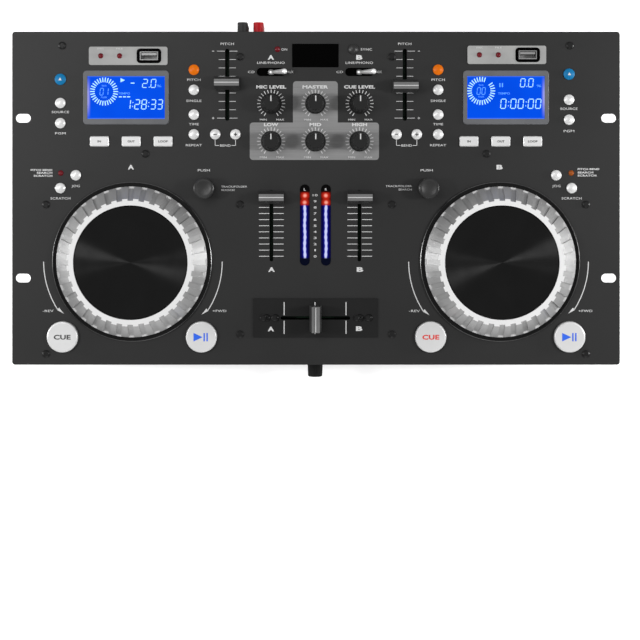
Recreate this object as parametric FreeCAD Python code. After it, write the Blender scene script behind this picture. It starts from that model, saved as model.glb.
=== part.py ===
import FreeCAD, Part
import math
import os

# Twin disc player with a built-in two-channel mixer, made as a 19 inch rack panel with a steel
# body hanging under it. Millimetres. +X is the user's right, +Y runs from the user to the rear,
# +Z is up. The origin is the middle of the four rack slots, on the underside of the top panel.
# The left deck is "a" (side -1) and the right deck is "b" (side +1).

V = FreeCAD.Vector
SIDES = {"a": -1, "b": 1}

# ---- Rack panel -------------------------------------------------------------------------------
plate_width = 482.6
plate_depth = 264.6
plate_thickness = 2.0
plate_corner_r = 2.5
rack_pitch_x = 465.1
rack_pitch_y = 127.0
rack_slot_length = 12.0
rack_slot_width = 7.0

# ---- Steel body -------------------------------------------------------------------------------
body_width = 442.0
body_depth = 254.2
body_height = 93.5
sheet = 1.2
flange = 12.0
rail_leg = 11.0
tab_width = 14.0
bend_gap = 0.3
foot_r = 7.5
foot_height = 7.0
foot_web = 3.5
foot_screw_gap = 0.6
foot_inset_x = 47.0
foot_inset_y = 32.0

# ---- Screws -----------------------------------------------------------------------------------
screw_r = 1.5
screw_head_r = 3.0
screw_head_height = 1.6
screw_length = 7.0
small_screw_length = 5.0
small_screw_head_r = 2.4
screw_gap = 0.05
standoff_r = 3.0
# Distances from the middle of the panel; each screw is mirrored left to right.
corner_screw_x = 201.6
corner_screw_y = 121.2
end_screw_x = 214.4
end_screw_y = 5.0
low_screw_y = 123.6
deck_screw_x = 135.5
deck_screw_y = 35.3
mixer_screw_x = 60.3
mixer_screw_rear_y = 112.4
mixer_screw_front_y = 108.1
blind_near_x = 98.0
blind_far_x = 194.0
blind_y = 66.0
blind_rear_x = 186.0
blind_rear_y = 108.0
PANEL_SCREWS = [(corner_screw_x, corner_screw_y), (end_screw_x, -end_screw_y), (end_screw_x, -low_screw_y)]
STANDOFF_SCREWS = [(deck_screw_x, deck_screw_y), (mixer_screw_x, mixer_screw_rear_y),
                   (mixer_screw_x, -end_screw_y), (mixer_screw_x, -mixer_screw_front_y)]
BLIND_STANDOFFS = [(blind_near_x, -blind_y), (blind_far_x, -blind_y), (blind_rear_x, blind_rear_y)]
front_screw_drop = 5.7
front_screw_near_x = 75.2
front_screw_far_x = 185.7
side_screw_high = 14.0
side_screw_low = 73.0
bottom_screw_inset = 21.0

# ---- Circuit boards ---------------------------------------------------------------------------
board_drop = 12.0
board_thickness = 1.6
tact_size = 6.0
tact_height = 5.0
mixer_board_half = 64.0
board_margin = 3.0
board_split = 2.0
board_front_gap = 15.0
board_rear_gap = 11.0
# The board behind the rear sockets.
rear_board_near = 20.0
rear_board_far = 200.0
rear_board_depth = 64.0
rear_board_setback = 20.0
rear_board_lift = 5.0
rear_board_post_inset = 5.0
chip_height = 2.0
large_chip = 20.0
small_chip = 14.0
chip_row = 52.0
large_chip_x = 170.0
middle_chip_x = 120.0
near_chip_x = 80.0

# ---- Push buttons -----------------------------------------------------------------------------
button_gap = 0.25
button_flange = 1.0
button_flange_thickness = 0.8
button_travel = 0.8
button_rise = 2.4
button_dome = 0.3
round_button_r = 4.05
eject_button_r = 4.4
sync_button_r = 3.85
loop_button_width = 14.9
loop_button_depth = 7.9
loop_button_r = 1.0
cue_button_r = 12.3
cue_button_rise = 4.0
cue_button_travel = 1.5
press_slack = 0.2

# ---- Deck layout ------------------------------------------------------------------------------
# "Outboard" is the distance away from the middle of the console, counted from the deck's axis.
deck_x = 146.0
jog_y = -50.4
transport_pitch = 110.2
transport_y = -110.0
loop_outboard = 0.65
loop_pitch = 25.3
loop_y = 45.1
display_outboard = 4.8
display_y = 80.0
column_inboard = 49.0
COLUMN_Y = {"pitch": 102.0, "single": 86.1, "time": 66.4, "repeat": 50.7}
bend_inboard = 74.0
bend_pitch = 16.0
jog_button_outboard = 44.7
jog_button_y = 18.2
scratch_outboard = 57.0
scratch_y = 8.0
mode_led_outboard = 56.7
mode_led_y = 20.0
encoder_inboard = 57.5
encoder_y = 8.0
pitch_fader_inboard = 75.5
pitch_fader_y = 90.1
# The media column and the socket strip sit a little differently on the two decks.
MEDIA = {
    "a": {"outboard": 57.0, "eject": 94.4, "source": 75.6, "program": 59.6},
    "b": {"outboard": 54.9, "eject": 98.5, "source": 78.2, "program": 62.3},
}
STRIP = {"a": (3.1, 113.0), "b": (5.5, 113.8)}

# ---- Socket strip -----------------------------------------------------------------------------
strip_width = 62.4
strip_depth = 14.5
strip_r = 1.6
strip_thickness = 1.0
strip_led_x = (-21.8, -6.8)
socket_x = 16.5
socket_surround_width = 19.5
socket_surround_depth = 11.7
socket_shell_width = 14.3
socket_shell_depth = 6.8
socket_wall = 0.6
socket_tongue = 1.8
socket_length = 12.0

# ---- Displays ---------------------------------------------------------------------------------
frame_width = 68.1
frame_depth = 43.0
frame_r = 3.0
frame_lip = 1.2
frame_neck = 2.0
lcd_width = 61.6
lcd_depth = 34.1
lcd_recess = 0.7
lcd_height = 6.0
# The whole mixer section sits a little to the left of the console's middle.
mixer_x = -0.5
window_width = 37.0
window_depth = 18.7
window_y = 113.3
window_rise = 0.5
meter_x = 8.4
meter_y = -21.3
meter_length = 64.6
meter_width = 7.8
fit_gap = 0.15

# ---- Lamps ------------------------------------------------------------------------------------
led_r = 2.0
mode_led_r = 2.1
channel_led_r = 2.2
channel_led_x = 30.1
channel_led_y = 118.3
front_led_r = 2.5
front_led_drop = 15.1

# ---- Jog wheels -------------------------------------------------------------------------------
jog_base_r = 63.3
jog_base_thickness = 1.2
jog_rim_width = 1.5
jog_rim_height = 2.4
jog_border = 3.6
jog_cone_width = 9.6
jog_lip_width = 5.4
jog_bottom = 3.3
jog_top = 16.7
jog_ledge = 1.1
jog_wall = 2.6
jog_web = 1.6
jog_disc_thickness = 2.0
jog_disc_recess = 0.4
jog_disc_gap = 0.3
jog_teeth = 36
jog_flute_depth = 1.5
jog_flute_share = 0.5
jog_shaft_r = 5.0
jog_shaft_gap = 0.05
jog_tube_r = 9.5
jog_hub_r = 14.0
jog_tube_top = 8.0
jog_tube_drop = 4.0
washer_gap = 0.25
clip_r = 7.5
code_disc_r = 18.0
code_disc_slots = 20
code_disc_thickness = 1.0
reader_length = 7.0
reader_width = 8.0
reader_slot_length = 6.0
shaft_drop = 8.6

# ---- Rotary knobs -----------------------------------------------------------------------------
knob_pitch = 35.1
KNOB_ROWS = {"upper": 75.1, "lower": 45.2}
KNOB_NAMES = {
    "upper": ("mic_level_knob", "master_knob", "cue_level_knob"),
    "lower": ("bass_knob", "mid_knob", "treble_knob"),
}
knob_base_r = 8.1
knob_top_r = 6.1
knob_height = 20.0
knob_skirt = 2.5
knob_lift = 1.0
knob_flutes = 16
knob_flute_r = 0.8
knob_pointer_width = 1.2
pot_shaft_r = 3.0
pot_gap = 0.05
shaft_hole_gap = 0.8
pot_size = 12.0
pot_height = 7.0
cue_knob_r = 7.0
cue_knob_tip_r = 5.9
cue_knob_length = 17.0
cue_knob_lift = 2.9
cue_knob_drop = 46.5

# ---- Search encoders --------------------------------------------------------------------------
encoder_r = 8.0
encoder_bottom = 4.5
encoder_top = 17.0
encoder_flutes = 20
encoder_dish = 0.8
encoder_push = 1.0
encoder_rotor_r = 4.6
encoder_flat = 0.6
encoder_shaft_length = 14.0

# ---- Faders -----------------------------------------------------------------------------------
cap_width = 19.5
cap_base = 10.4
cap_top = 5.2
cap_bottom = 3.7
cap_height = 14.5
cap_ridge = 1.2
fader_stem_width = 4.0
fader_stem_thickness = 1.4
fader_slot_gap = 0.7
fader_body_width = 9.0
fader_body_extra = 12.0
fader_body_top = 3.0
fader_carriage = 3.0
pitch_slot_length = 57.2
pitch_slot_width = 3.3
PITCH_REST = {"a": 1.1, "b": -1.4}
channel_fader_x = 34.9
channel_fader_y = -21.8
channel_slot_length = 56.8
channel_slot_width = 2.8
channel_rest = 22.6
crossfader_y = -95.0
crossfader_slot_length = 55.2
crossfader_cap_length = 20.4
crossfader_cap_base = 9.4
crossfader_cap_top = 6.2
crossfader_cap_bottom = 1.0
crossfader_cap_height = 19.4
cross_plate_width = 98.7
cross_plate_depth = 30.9
cross_plate_thickness = 1.6
cross_screw_near = 32.6
cross_screw_far = 41.6
cross_screw_length = 5.5

# ---- Source toggles ---------------------------------------------------------------------------
toggle_x = 35.15
toggle_y = 100.3
toggle_slot_length = 22.8
toggle_slot_width = 6.6
toggle_pivot_drop = 3.0
toggle_length = 19.5
toggle_tilt = 38.0
toggle_root_r = 1.3
toggle_tip_r = 2.2
toggle_ball_r = 2.6
toggle_case_width = 22.0
toggle_case_depth = 9.0
toggle_pin_r = 0.8
toggle_pin_length = 7.2

# ---- Front controls ---------------------------------------------------------------------------
jack_x = 25.0
jack_drop = 52.6
jack_bore_r = 3.2
jack_bore_length = 30.0
jack_nut_r = 4.8
jack_nut_thickness = 1.6
jack_nose_step = 0.8
jack_body = 14.0
jack_screw_x = 38.0

# ---- Disc loaders -----------------------------------------------------------------------------
tray_x = 130.2
tray_drop = 41.5
bezel_side = 9.5
bezel_edge = 9.8
bezel_r = 2.0
bezel_thickness = 2.0
bezel_screw_inset_x = 5.1
bezel_screw_inset_z = 4.75
door_overlap = 4.0
door_height = 23.8
door_gap = 0.4
tray_opening_side = 0.3
tray_opening_edge = 0.35
door_thickness = 3.0
door_bulge = 1.6
disc_r = 60.0
disc_well_gap = 0.6
tray_width = 128.0
tray_thickness = 6.0
tray_well_depth = 4.4
tray_tail = 26.0
tray_travel = 135.0
tray_offset = 2.0
small_disc_r = 41.0
small_well_depth = 0.8
hub_hole_r = 19.0
pickup_slot_width = 32.0
pickup_slot_length = 50.0
tail_window_side = 24.0
tail_window_near = 8.0
tail_window_far = 6.0
loader_gap = 0.5
loader_wall = 2.5
loader_depth = 162.0
loader_floor_drop = 14.0
loader_cutout_side = 29.0
loader_cutout_length = 100.0
rail_reach = 4.0
rail_gap = 0.3
rail_thickness = 2.0
upper_rail_start = 30.0
leg_r = 4.0
leg_inset = 6.0
leg_front = 18.0
leg_back = 10.0
ear_depth = 5.0
ear_reach = 4.0
clamp_height = 9.0
clamp_bar = 26.0
clamp_puck_r = 15.0
spindle_r = 14.0
turntable_r = 9.0
sled_width = 66.0
sled_length = 92.0
pickup_width = 26.0
pickup_length = 22.0
guide_rod_r = 1.5
guide_rod_x = 20.0
guide_rod_length = 70.0
guide_rod_front = 28.0

# ---- Power supply -----------------------------------------------------------------------------
supply_x = 100.0
supply_width = 120.0
supply_depth = 70.0
supply_setback = 62.0
supply_lift = 6.0
core_inset = 50.0
core_width = 28.0
core_depth = 34.0
core_height = 22.0
coil_width = 38.0
coil_depth = 20.0
coil_margin = 4.0
tank_inset = 30.0
tank_shift = 14.0
tank_r = 11.0
tank_height = 30.0
filter_inset = 20.0
filter_pitch = 16.0
filter_r = 5.0
filter_height = 16.0
filter_shift = 4.0
sink_inset = 22.0
sink_width = 36.0
sink_thickness = 3.0
sink_height = 24.0
choke_inset = 20.0
choke_r = 8.0
choke_height = 10.0
choke_shift = 18.0
supply_post_inset = 5.0

# ---- Rear -------------------------------------------------------------------------------------
phono_r = 4.15
phono_length = 14.0
phono_pitch_x = 12.8
phono_pitch_z = 15.0
phono_rows = 4
phono_x = -52.4
phono_drop = 16.0
phono_pin_r = 1.7
inlet_x = 165.0
inlet_drop = 62.0
inlet_width = 27.4
inlet_height = 19.9
inlet_wall = 1.5
inlet_depth = 17.0
inlet_flange_width = 50.0
inlet_flange_height = 24.0
inlet_screw_x = 20.0
blade_width = 2.0
blade_height = 4.0
rocker_x = 125.0
rocker_width = 13.0
rocker_height = 19.0
rocker_tilt = 10.0
rocker_pivot_depth = 1.6
rocker_pin_r = 1.1
rocker_pin_reach = 0.3
rocker_opening_gap = 0.6
rocker_case_depth = 14.0
rocker_pocket_depth = 12.0

top_z = plate_thickness
jog_skirt_r = jog_base_r - jog_border
jog_top_r = jog_skirt_r - jog_cone_width
jog_disc_r = jog_top_r - jog_lip_width
floor_z = -body_height
front_y = -body_depth / 2
rear_y = body_depth / 2
board_top = -board_drop
board_bottom = board_top - board_thickness
tray_z = -tray_drop
door_width = tray_width + 2 * door_overlap
bezel_width = door_width + 2 * bezel_side
bezel_height = door_height + 2 * bezel_edge
bezel_screw_x = bezel_width / 2 - bezel_screw_inset_x
bezel_screw_z = bezel_height / 2 - bezel_screw_inset_z
well_y = front_y + door_thickness + disc_r + disc_well_gap + 3.0


# ---- Shapes -----------------------------------------------------------------------------------
def box(x0, x1, y0, y1, z0, z1):
    return Part.makeBox(x1 - x0, y1 - y0, z1 - z0, V(x0, y0, z0))


def block(x, y, width, depth, z0, z1):
    return box(x - width / 2, x + width / 2, y - depth / 2, y + depth / 2, z0, z1)


def rod(x, y, r, z0, z1):
    return Part.makeCylinder(r, z1 - z0, V(x, y, z0))


def rod_y(x, z, r, y0, y1):
    return Part.makeCylinder(r, y1 - y0, V(x, y0, z), V(0, 1, 0))


def rod_x(y, z, r, x0, x1):
    return Part.makeCylinder(r, x1 - x0, V(x0, y, z), V(1, 0, 0))


def slab(x, y, width, depth, r, z0, z1):
    """An upright prism on a rectangle with rounded corners."""
    body = block(x, y, width, depth, z0, z1)
    uprights = [edge for edge in body.Edges if abs(edge.tangentAt(edge.FirstParameter).z) > 0.9]
    return body.makeFillet(min(r, 0.49 * min(width, depth)), uprights)


def slab_y(x, z, width, height, r, y0, y1):
    """The same prism lying along Y, for pieces on the front and rear."""
    body = slab(0, 0, width, height, r, 0, y1 - y0)
    body.rotate(V(0, 0, 0), V(1, 0, 0), 90)
    body.translate(V(x, y1, z))
    return body


def slot(x, y, length, width, z0, z1, along_x):
    """A slot with round ends; length is from end to end."""
    half = (length - width) / 2
    dx, dy = (half, 0) if along_x else (0, half)
    size = (2 * half, width) if along_x else (width, 2 * half)
    middle = block(x, y, size[0], size[1], z0, z1)
    ends = [rod(x - dx, y - dy, width / 2, z0, z1), rod(x + dx, y + dy, width / 2, z0, z1)]
    return middle.fuse(ends).removeSplitter()


def turned(x, y, outline):
    """A turned solid from (radius, height) corners; a corner with a third value is an arc's middle."""
    edges = []
    points = [V(corner[0], 0, corner[1]) for corner in outline]
    index = 0
    while index < len(outline):
        after = (index + 1) % len(outline)
        if len(outline[after]) == 3:
            end = (index + 2) % len(outline)
            edges.append(Part.Arc(points[index], points[after], points[end]).toShape())
            index += 2
        else:
            edges.append(Part.LineSegment(points[index], points[after]).toShape())
            index += 1
    solid = Part.Face(Part.Wire(edges)).revolve(V(0, 0, 0), V(0, 0, 1), 360)
    solid.translate(V(x, y, 0))
    return solid


def dome_middle(r, edge_z, crown_z):
    """The point half-way out on a ball surface from (r, edge_z) to the axis at crown_z."""
    rise = crown_z - edge_z
    ball_r = (r * r + rise * rise) / (2 * rise)
    drop = abs(ball_r) - math.sqrt(ball_r * ball_r - r * r / 4)
    return (r / 2, crown_z - math.copysign(drop, rise), "arc")


def domed_rod(x, y, r, z0, z1, rise):
    """A rod whose top is a shallow dome; z1 is the height of the dome's middle."""
    edge_z = z1 - rise
    return turned(x, y, [(0, z0), (r, z0), (r, edge_z), dome_middle(r, edge_z, z1), (0, z1)])


def cut(body, tools):
    return body.cut(Part.makeCompound(tools))


def pointed(shape, position, direction):
    """Turns a shape built along +Z to point along a direction, and puts it in place."""
    shape.Placement = FreeCAD.Placement(position, FreeCAD.Rotation(V(0, 0, 1), direction))
    return shape


def save(name, solids):
    shape = solids[0] if len(solids) == 1 else Part.makeCompound(solids)
    shape.exportStep(os.path.join("parts", name + ".step"))


panel_holes = []
screws = []
board_pieces = []


def through_panel(shape):
    panel_holes.append(shape)


def hole(x, y, r):
    through_panel(rod(x, y, r, -1, top_z + 1))


def screw(position, direction, head_r=None, length=None):
    r = head_r or screw_head_r
    deep = length or screw_length
    low = 0.55 * screw_head_height
    body = turned(0, 0, [(0, -deep), (screw_r, -deep), (screw_r, 0), (r, 0), (r, low),
                         (0.62 * r, screw_head_height), (0, screw_head_height)])
    screws.append(pointed(body, position, direction))


def screw_hole(position, direction):
    reach = 2 * screw_length
    drill = Part.makeCylinder(screw_r + screw_gap, 2 * reach, V(0, 0, -reach))
    return pointed(drill, position, direction)


# ---- Switches, buttons and what carries them --------------------------------------------------
def tact_switch(x, y, height):
    """A board switch whose cap stops short of the button by its travel and a little slack."""
    stem_top = board_top + height
    body = block(x, y, tact_size, tact_size, board_top, stem_top - 1.2)
    board_pieces.append(body)
    board_pieces.append(rod(x, y, 1.7, stem_top - 1.2, stem_top))


def round_button(x, y, r, rise, travel):
    """A turned button with a retaining flange under the panel and a stem down to its switch."""
    top = top_z + rise
    edge_z = top - button_dome * r
    tip = board_top + tact_height + travel + press_slack
    flange_low = -button_flange_thickness - button_gap
    solid = turned(x, y, [(0, tip), (0.5 * r, tip), (0.5 * r, flange_low), (r + button_flange, flange_low),
                          (r + button_flange, -button_gap), (r, -button_gap), (r, edge_z),
                          dome_middle(r, edge_z, top), (0, top)])
    hole(x, y, r + button_gap)
    tact_switch(x, y, tact_height)
    return solid


def flat_button(x, y, r, rise, travel):
    """A large flat transport button with a bevelled edge."""
    top = top_z + rise
    tip = board_top + tact_height + travel + press_slack
    flange_low = -button_flange_thickness - button_gap
    solid = turned(x, y, [(0, tip), (3.0, tip), (3.0, flange_low), (r + button_flange, flange_low),
                          (r + button_flange, -button_gap), (r, -button_gap), (r, top - 1.1),
                          (r - 0.3, top - 0.4, "arc"), (r - 1.1, top), (0, top)])
    hole(x, y, r + button_gap)
    tact_switch(x, y, tact_height)
    return solid


def loop_button(x, y):
    top = top_z + button_rise - 0.6
    tip = board_top + tact_height + button_travel + press_slack
    flange_low = -button_flange_thickness - button_gap
    key = slab(x, y, loop_button_width, loop_button_depth, loop_button_r, -button_gap, top)
    rim = [edge for edge in key.Edges if edge.CenterOfMass.z > top - 0.01]
    key = key.makeChamfer(0.5, rim)
    lip = block(x, y, loop_button_width + 2 * button_flange, loop_button_depth + 2 * button_flange,
                flange_low, -button_gap)
    stem = rod(x, y, 2.0, tip, flange_low)
    through_panel(slab(x, y, loop_button_width + 2 * button_gap, loop_button_depth + 2 * button_gap,
                       loop_button_r + button_gap, -1, top_z + 1))
    tact_switch(x, y, tact_height)
    return key.fuse([lip, stem])


def small_button(x, y):
    return round_button(x, y, round_button_r, button_rise, button_travel)


def make_buttons():
    for deck, side in SIDES.items():
        axis = side * deck_x
        media_x = axis + side * MEDIA[deck]["outboard"]
        eject = round_button(media_x, MEDIA[deck]["eject"], eject_button_r, button_rise, button_travel)
        save("eject_button_" + deck, [eject])
        save("source_buttons_" + deck, [small_button(media_x, MEDIA[deck][key])
                                        for key in ("source", "program")])
        loop_x = axis + side * loop_outboard
        save("loop_buttons_" + deck, [loop_button(loop_x + step * loop_pitch, loop_y)
                                      for step in (-1, 0, 1)])
        column = axis - side * column_inboard
        save("pitch_button_" + deck, [small_button(column, COLUMN_Y["pitch"])])
        save("mode_buttons_" + deck, [small_button(column, COLUMN_Y[key])
                                      for key in ("single", "time", "repeat")])
        bend = axis - side * bend_inboard
        save("bend_buttons_" + deck, [small_button(bend + step * bend_pitch / 2, COLUMN_Y["repeat"])
                                      for step in (-1, 1)])
        save("scratch_buttons_" + deck, [
            small_button(axis + side * jog_button_outboard, jog_button_y),
            small_button(axis + side * scratch_outboard, scratch_y)])
        for name, step in (("cue_button_", -1), ("play_button_", 1)):
            x = axis + step * transport_pitch / 2
            save(name + deck, [flat_button(x, transport_y, cue_button_r, cue_button_rise,
                                           cue_button_travel)])
    save("sync_button", [round_button(mixer_x + channel_led_x, channel_led_y, sync_button_r,
                                      button_rise, button_travel)])


# ---- Jog wheels -------------------------------------------------------------------------------
def jog_flutes():
    """One long tool per flute: it leaves the lip's teeth at the top and a ledge at the bottom."""
    slope = (jog_skirt_r - jog_top_r) / (jog_top - jog_bottom - jog_ledge)
    low = top_z + jog_bottom + jog_ledge
    high = top_z + jog_top + 1
    low_r = jog_skirt_r - jog_flute_depth
    high_r = jog_top_r - slope - jog_flute_depth
    reach = jog_skirt_r + 5
    width = jog_flute_share * 2 * math.pi * jog_top_r / jog_teeth
    corners = [V(low_r, 0, low), V(reach, 0, low), V(reach, 0, high), V(high_r, 0, high), V(low_r, 0, low)]
    tool = Part.Face(Part.makePolygon(corners)).extrude(V(0, width, 0))
    tool.translate(V(0, -width / 2, 0))
    tools = []
    for index in range(jog_teeth):
        copy = tool.copy()
        copy.rotate(V(0, 0, 0), V(0, 0, 1), 360.0 * index / jog_teeth)
        tools.append(copy)
    return tools


def code_disc():
    high = -shaft_drop + code_disc_thickness
    disc = rod(0, 0, code_disc_r, -shaft_drop, high).cut(rod(0, 0, jog_shaft_r, -shaft_drop, high))
    window = box(0.78 * code_disc_r, 0.94 * code_disc_r, -0.9, 0.9, -shaft_drop - 1, high + 1)
    windows = []
    for index in range(code_disc_slots):
        copy = window.copy()
        copy.rotate(V(0, 0, 0), V(0, 0, 1), 360.0 * index / code_disc_slots)
        windows.append(copy)
    return cut(disc, windows)


def make_jog_wheels():
    low = top_z + jog_bottom
    high = top_z + jog_top
    disc_high = high - jog_disc_recess
    web_high = disc_high - jog_disc_thickness
    web_low = web_high - jog_web
    tube_top = top_z + jog_tube_top
    hub_low = tube_top + washer_gap
    recess_r = jog_disc_r + jog_disc_gap
    clip_high = -jog_tube_drop - washer_gap
    for deck, side in SIDES.items():
        ring = turned(0, 0, [
            (0, web_low), (jog_top_r - jog_wall - 3.0, web_low), (jog_skirt_r - jog_wall - 2.0, low),
            (jog_skirt_r, low), (jog_skirt_r, low + jog_ledge), (jog_top_r, high), (recess_r, high),
            (recess_r, web_high), (0, web_high)])
        ring = cut(ring, jog_flutes())
        hub = rod(0, 0, jog_hub_r, hub_low, web_low)
        shaft = rod(0, 0, jog_shaft_r, -shaft_drop, hub_low)
        ring = ring.fuse([hub, shaft])
        disc = turned(0, 0, [(0, web_high), (jog_disc_r, web_high), (jog_disc_r, disc_high - 0.5),
                             (jog_disc_r - 0.5, disc_high), (0, disc_high)])
        clip = rod(0, 0, clip_r, clip_high - 1.0, clip_high).cut(
            rod(0, 0, jog_shaft_r, clip_high - 1.0, clip_high))
        wheel = [ring, disc, clip, code_disc()]
        for solid in wheel:
            solid.translate(V(side * deck_x, jog_y, 0))
        save("jog_wheel_" + deck, wheel)


def make_jog_bases():
    bases = []
    bore_r = jog_shaft_r + jog_shaft_gap
    for side in SIDES.values():
        x = side * deck_x
        rim_in = jog_base_r - jog_rim_width
        low = top_z + jog_base_thickness
        rim_high = top_z + jog_rim_height
        bases.append(turned(x, jog_y, [
            (bore_r, -jog_tube_drop), (jog_tube_r, -jog_tube_drop), (jog_tube_r, top_z),
            (jog_base_r, top_z), (jog_base_r, rim_high - 0.4), (jog_base_r - 0.4, rim_high),
            (rim_in, rim_high), (rim_in, low), (jog_tube_r, low), (jog_tube_r, top_z + jog_tube_top),
            (bore_r, top_z + jog_tube_top)]))
        hole(x, jog_y, jog_tube_r + fit_gap)
        reader = block(x + code_disc_r, jog_y, reader_length, reader_width, board_top, -shaft_drop + 4.0)
        reader = reader.cut(block(x + code_disc_r - 2.0, jog_y, reader_slot_length, reader_width + 1.0,
                                  -shaft_drop - 1.0, -shaft_drop + code_disc_thickness + 1.0))
        board_pieces.append(reader)
    save("jog_bases", bases)


# ---- Rotary knobs -----------------------------------------------------------------------------
def fluted_knob(base_r, top_r, height, skirt):
    """A tapered knob on a plain skirt, its grip cut by round flutes, with a pointer groove."""
    body = turned(0, 0, [(0, 0), (base_r, 0), (base_r, skirt - 0.6), (base_r - 0.6, skirt),
                         (top_r, height - 0.7), (top_r - 0.7, height), (0, height)])
    start = V(base_r, 0, skirt)
    end = V(top_r + 0.15, 0, height + 1)
    flute = Part.makeCylinder(knob_flute_r, (end - start).Length, start, end - start)
    tools = []
    for index in range(knob_flutes):
        copy = flute.copy()
        copy.rotate(V(0, 0, 0), V(0, 0, 1), 360.0 * (index + 0.5) / knob_flutes)
        tools.append(copy)
    pointer = box(-knob_pointer_width / 2, knob_pointer_width / 2, 0.2 * top_r, base_r + 1,
                  height - 0.3, height + 1)
    return cut(body, tools + [pointer])


def pot(x, y):
    """A board-mounted rotary control: a housing with a bore for the shaft."""
    top = board_top + pot_height
    housing = block(x, y, pot_size, pot_size, board_top, top)
    board_pieces.append(housing.cut(rod(x, y, pot_shaft_r + pot_gap, board_top + 1.0, top)))


def make_knobs():
    for row, y in KNOB_ROWS.items():
        for step, name in zip((-1, 0, 1), KNOB_NAMES[row]):
            x = mixer_x + step * knob_pitch
            knob = fluted_knob(knob_base_r, knob_top_r, knob_height, knob_skirt)
            knob.translate(V(x, y, top_z + knob_lift))
            shaft = rod(x, y, pot_shaft_r, board_top + 1.5, top_z + knob_lift)
            save(name, [knob.fuse(shaft)])
            hole(x, y, pot_shaft_r + shaft_hole_gap)
            pot(x, y)


def make_phones_knob():
    knob = fluted_knob(cue_knob_r, cue_knob_tip_r, cue_knob_length, knob_skirt)
    shaft = rod(0, 0, pot_shaft_r, -cue_knob_lift - sheet - 5.0, 0)
    knob = knob.fuse(shaft)
    knob.rotate(V(0, 0, 0), V(1, 0, 0), 90)
    knob.translate(V(0, front_y - cue_knob_lift, -cue_knob_drop))
    save("phones_cue_knob", [knob])


# ---- Search encoders --------------------------------------------------------------------------
def keyed_rod(r, flat, z0, z1):
    """A round rod with one flat, so that a knob on it turns with it."""
    return rod(0, 0, r, z0, z1).cut(box(r - flat, r + 1, -r, r, z0, z1))


def make_encoders():
    for deck, side in SIDES.items():
        x = side * (deck_x - encoder_inboard)
        low = top_z + encoder_bottom
        high = top_z + encoder_top
        dish_r = encoder_r - 2.2
        knob = turned(0, 0, [(0, low), (encoder_r - 0.5, low), (encoder_r, low + 0.5),
                             (encoder_r, high - 0.8), (encoder_r - 0.8, high), (dish_r, high),
                             dome_middle(dish_r, high, high - encoder_dish),
                             (0, high - encoder_dish)])
        groove = rod(encoder_r + 0.35, 0, 0.7, low + 1.5, high - 1.5)
        grooves = []
        for index in range(encoder_flutes):
            copy = groove.copy()
            copy.rotate(V(0, 0, 0), V(0, 0, 1), 360.0 * index / encoder_flutes)
            grooves.append(copy)
        rotor_low = board_top + 3.0
        rotor_high = -1.0
        shaft_high = rotor_high + encoder_shaft_length
        bore = keyed_rod(pot_shaft_r + pot_gap, encoder_flat, low - 1, shaft_high + encoder_push + 0.4)
        knob = cut(knob, grooves + [bore])
        knob.translate(V(x, encoder_y, 0))
        save("encoder_knob_" + deck, [knob])
        rotor = rod(0, 0, encoder_rotor_r, rotor_low, rotor_high)
        rotor = rotor.fuse(keyed_rod(pot_shaft_r, encoder_flat, rotor_high, shaft_high))
        rotor.translate(V(x, encoder_y, 0))
        save("encoder_rotor_" + deck, [rotor])
        case = block(x, encoder_y, pot_size + 1, pot_size + 1, board_top, rotor_high + 0.4)
        cavity = rod(x, encoder_y, encoder_rotor_r + pot_gap, rotor_low - pot_gap, rotor_high + 1)
        board_pieces.append(case.cut(cavity))
        hole(x, encoder_y, pot_shaft_r + shaft_hole_gap)


# ---- Faders -----------------------------------------------------------------------------------
def fader_cap(width, base, top, bottom_z, height):
    """A finger cap along X: a thick foot, hollowed sides and a raised centre line."""
    high = bottom_z + height
    shoulder = bottom_z + 0.2 * height
    crown = high - 0.06 * height
    sag = 0.28 * (base - top)
    half = cap_ridge / 2
    right = [V(0, base / 2, bottom_z), V(0, base / 2, shoulder),
             V(0, top / 2 + sag / 2, (shoulder + crown) / 2), V(0, top / 2, crown), V(0, top / 2, high - 0.4),
             V(0, half, high - 0.4), V(0, half, high)]
    left = [V(0, -p.y, p.z) for p in reversed(right)]
    edges = []
    for points, bend in ((right, 1), (left, 3)):
        index = 0
        while index < len(points) - 1:
            if index == bend:
                edges.append(Part.Arc(points[index], points[index + 1], points[index + 2]).toShape())
                index += 2
            else:
                edges.append(Part.LineSegment(points[index], points[index + 1]).toShape())
                index += 1
        if points is right:
            edges.append(Part.LineSegment(right[-1], left[0]).toShape())
    edges.append(Part.LineSegment(left[-1], right[0]).toShape())
    cap = Part.Face(Part.Wire(edges)).extrude(V(width, 0, 0))
    cap.translate(V(-width / 2, 0, 0))
    return cap


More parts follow.
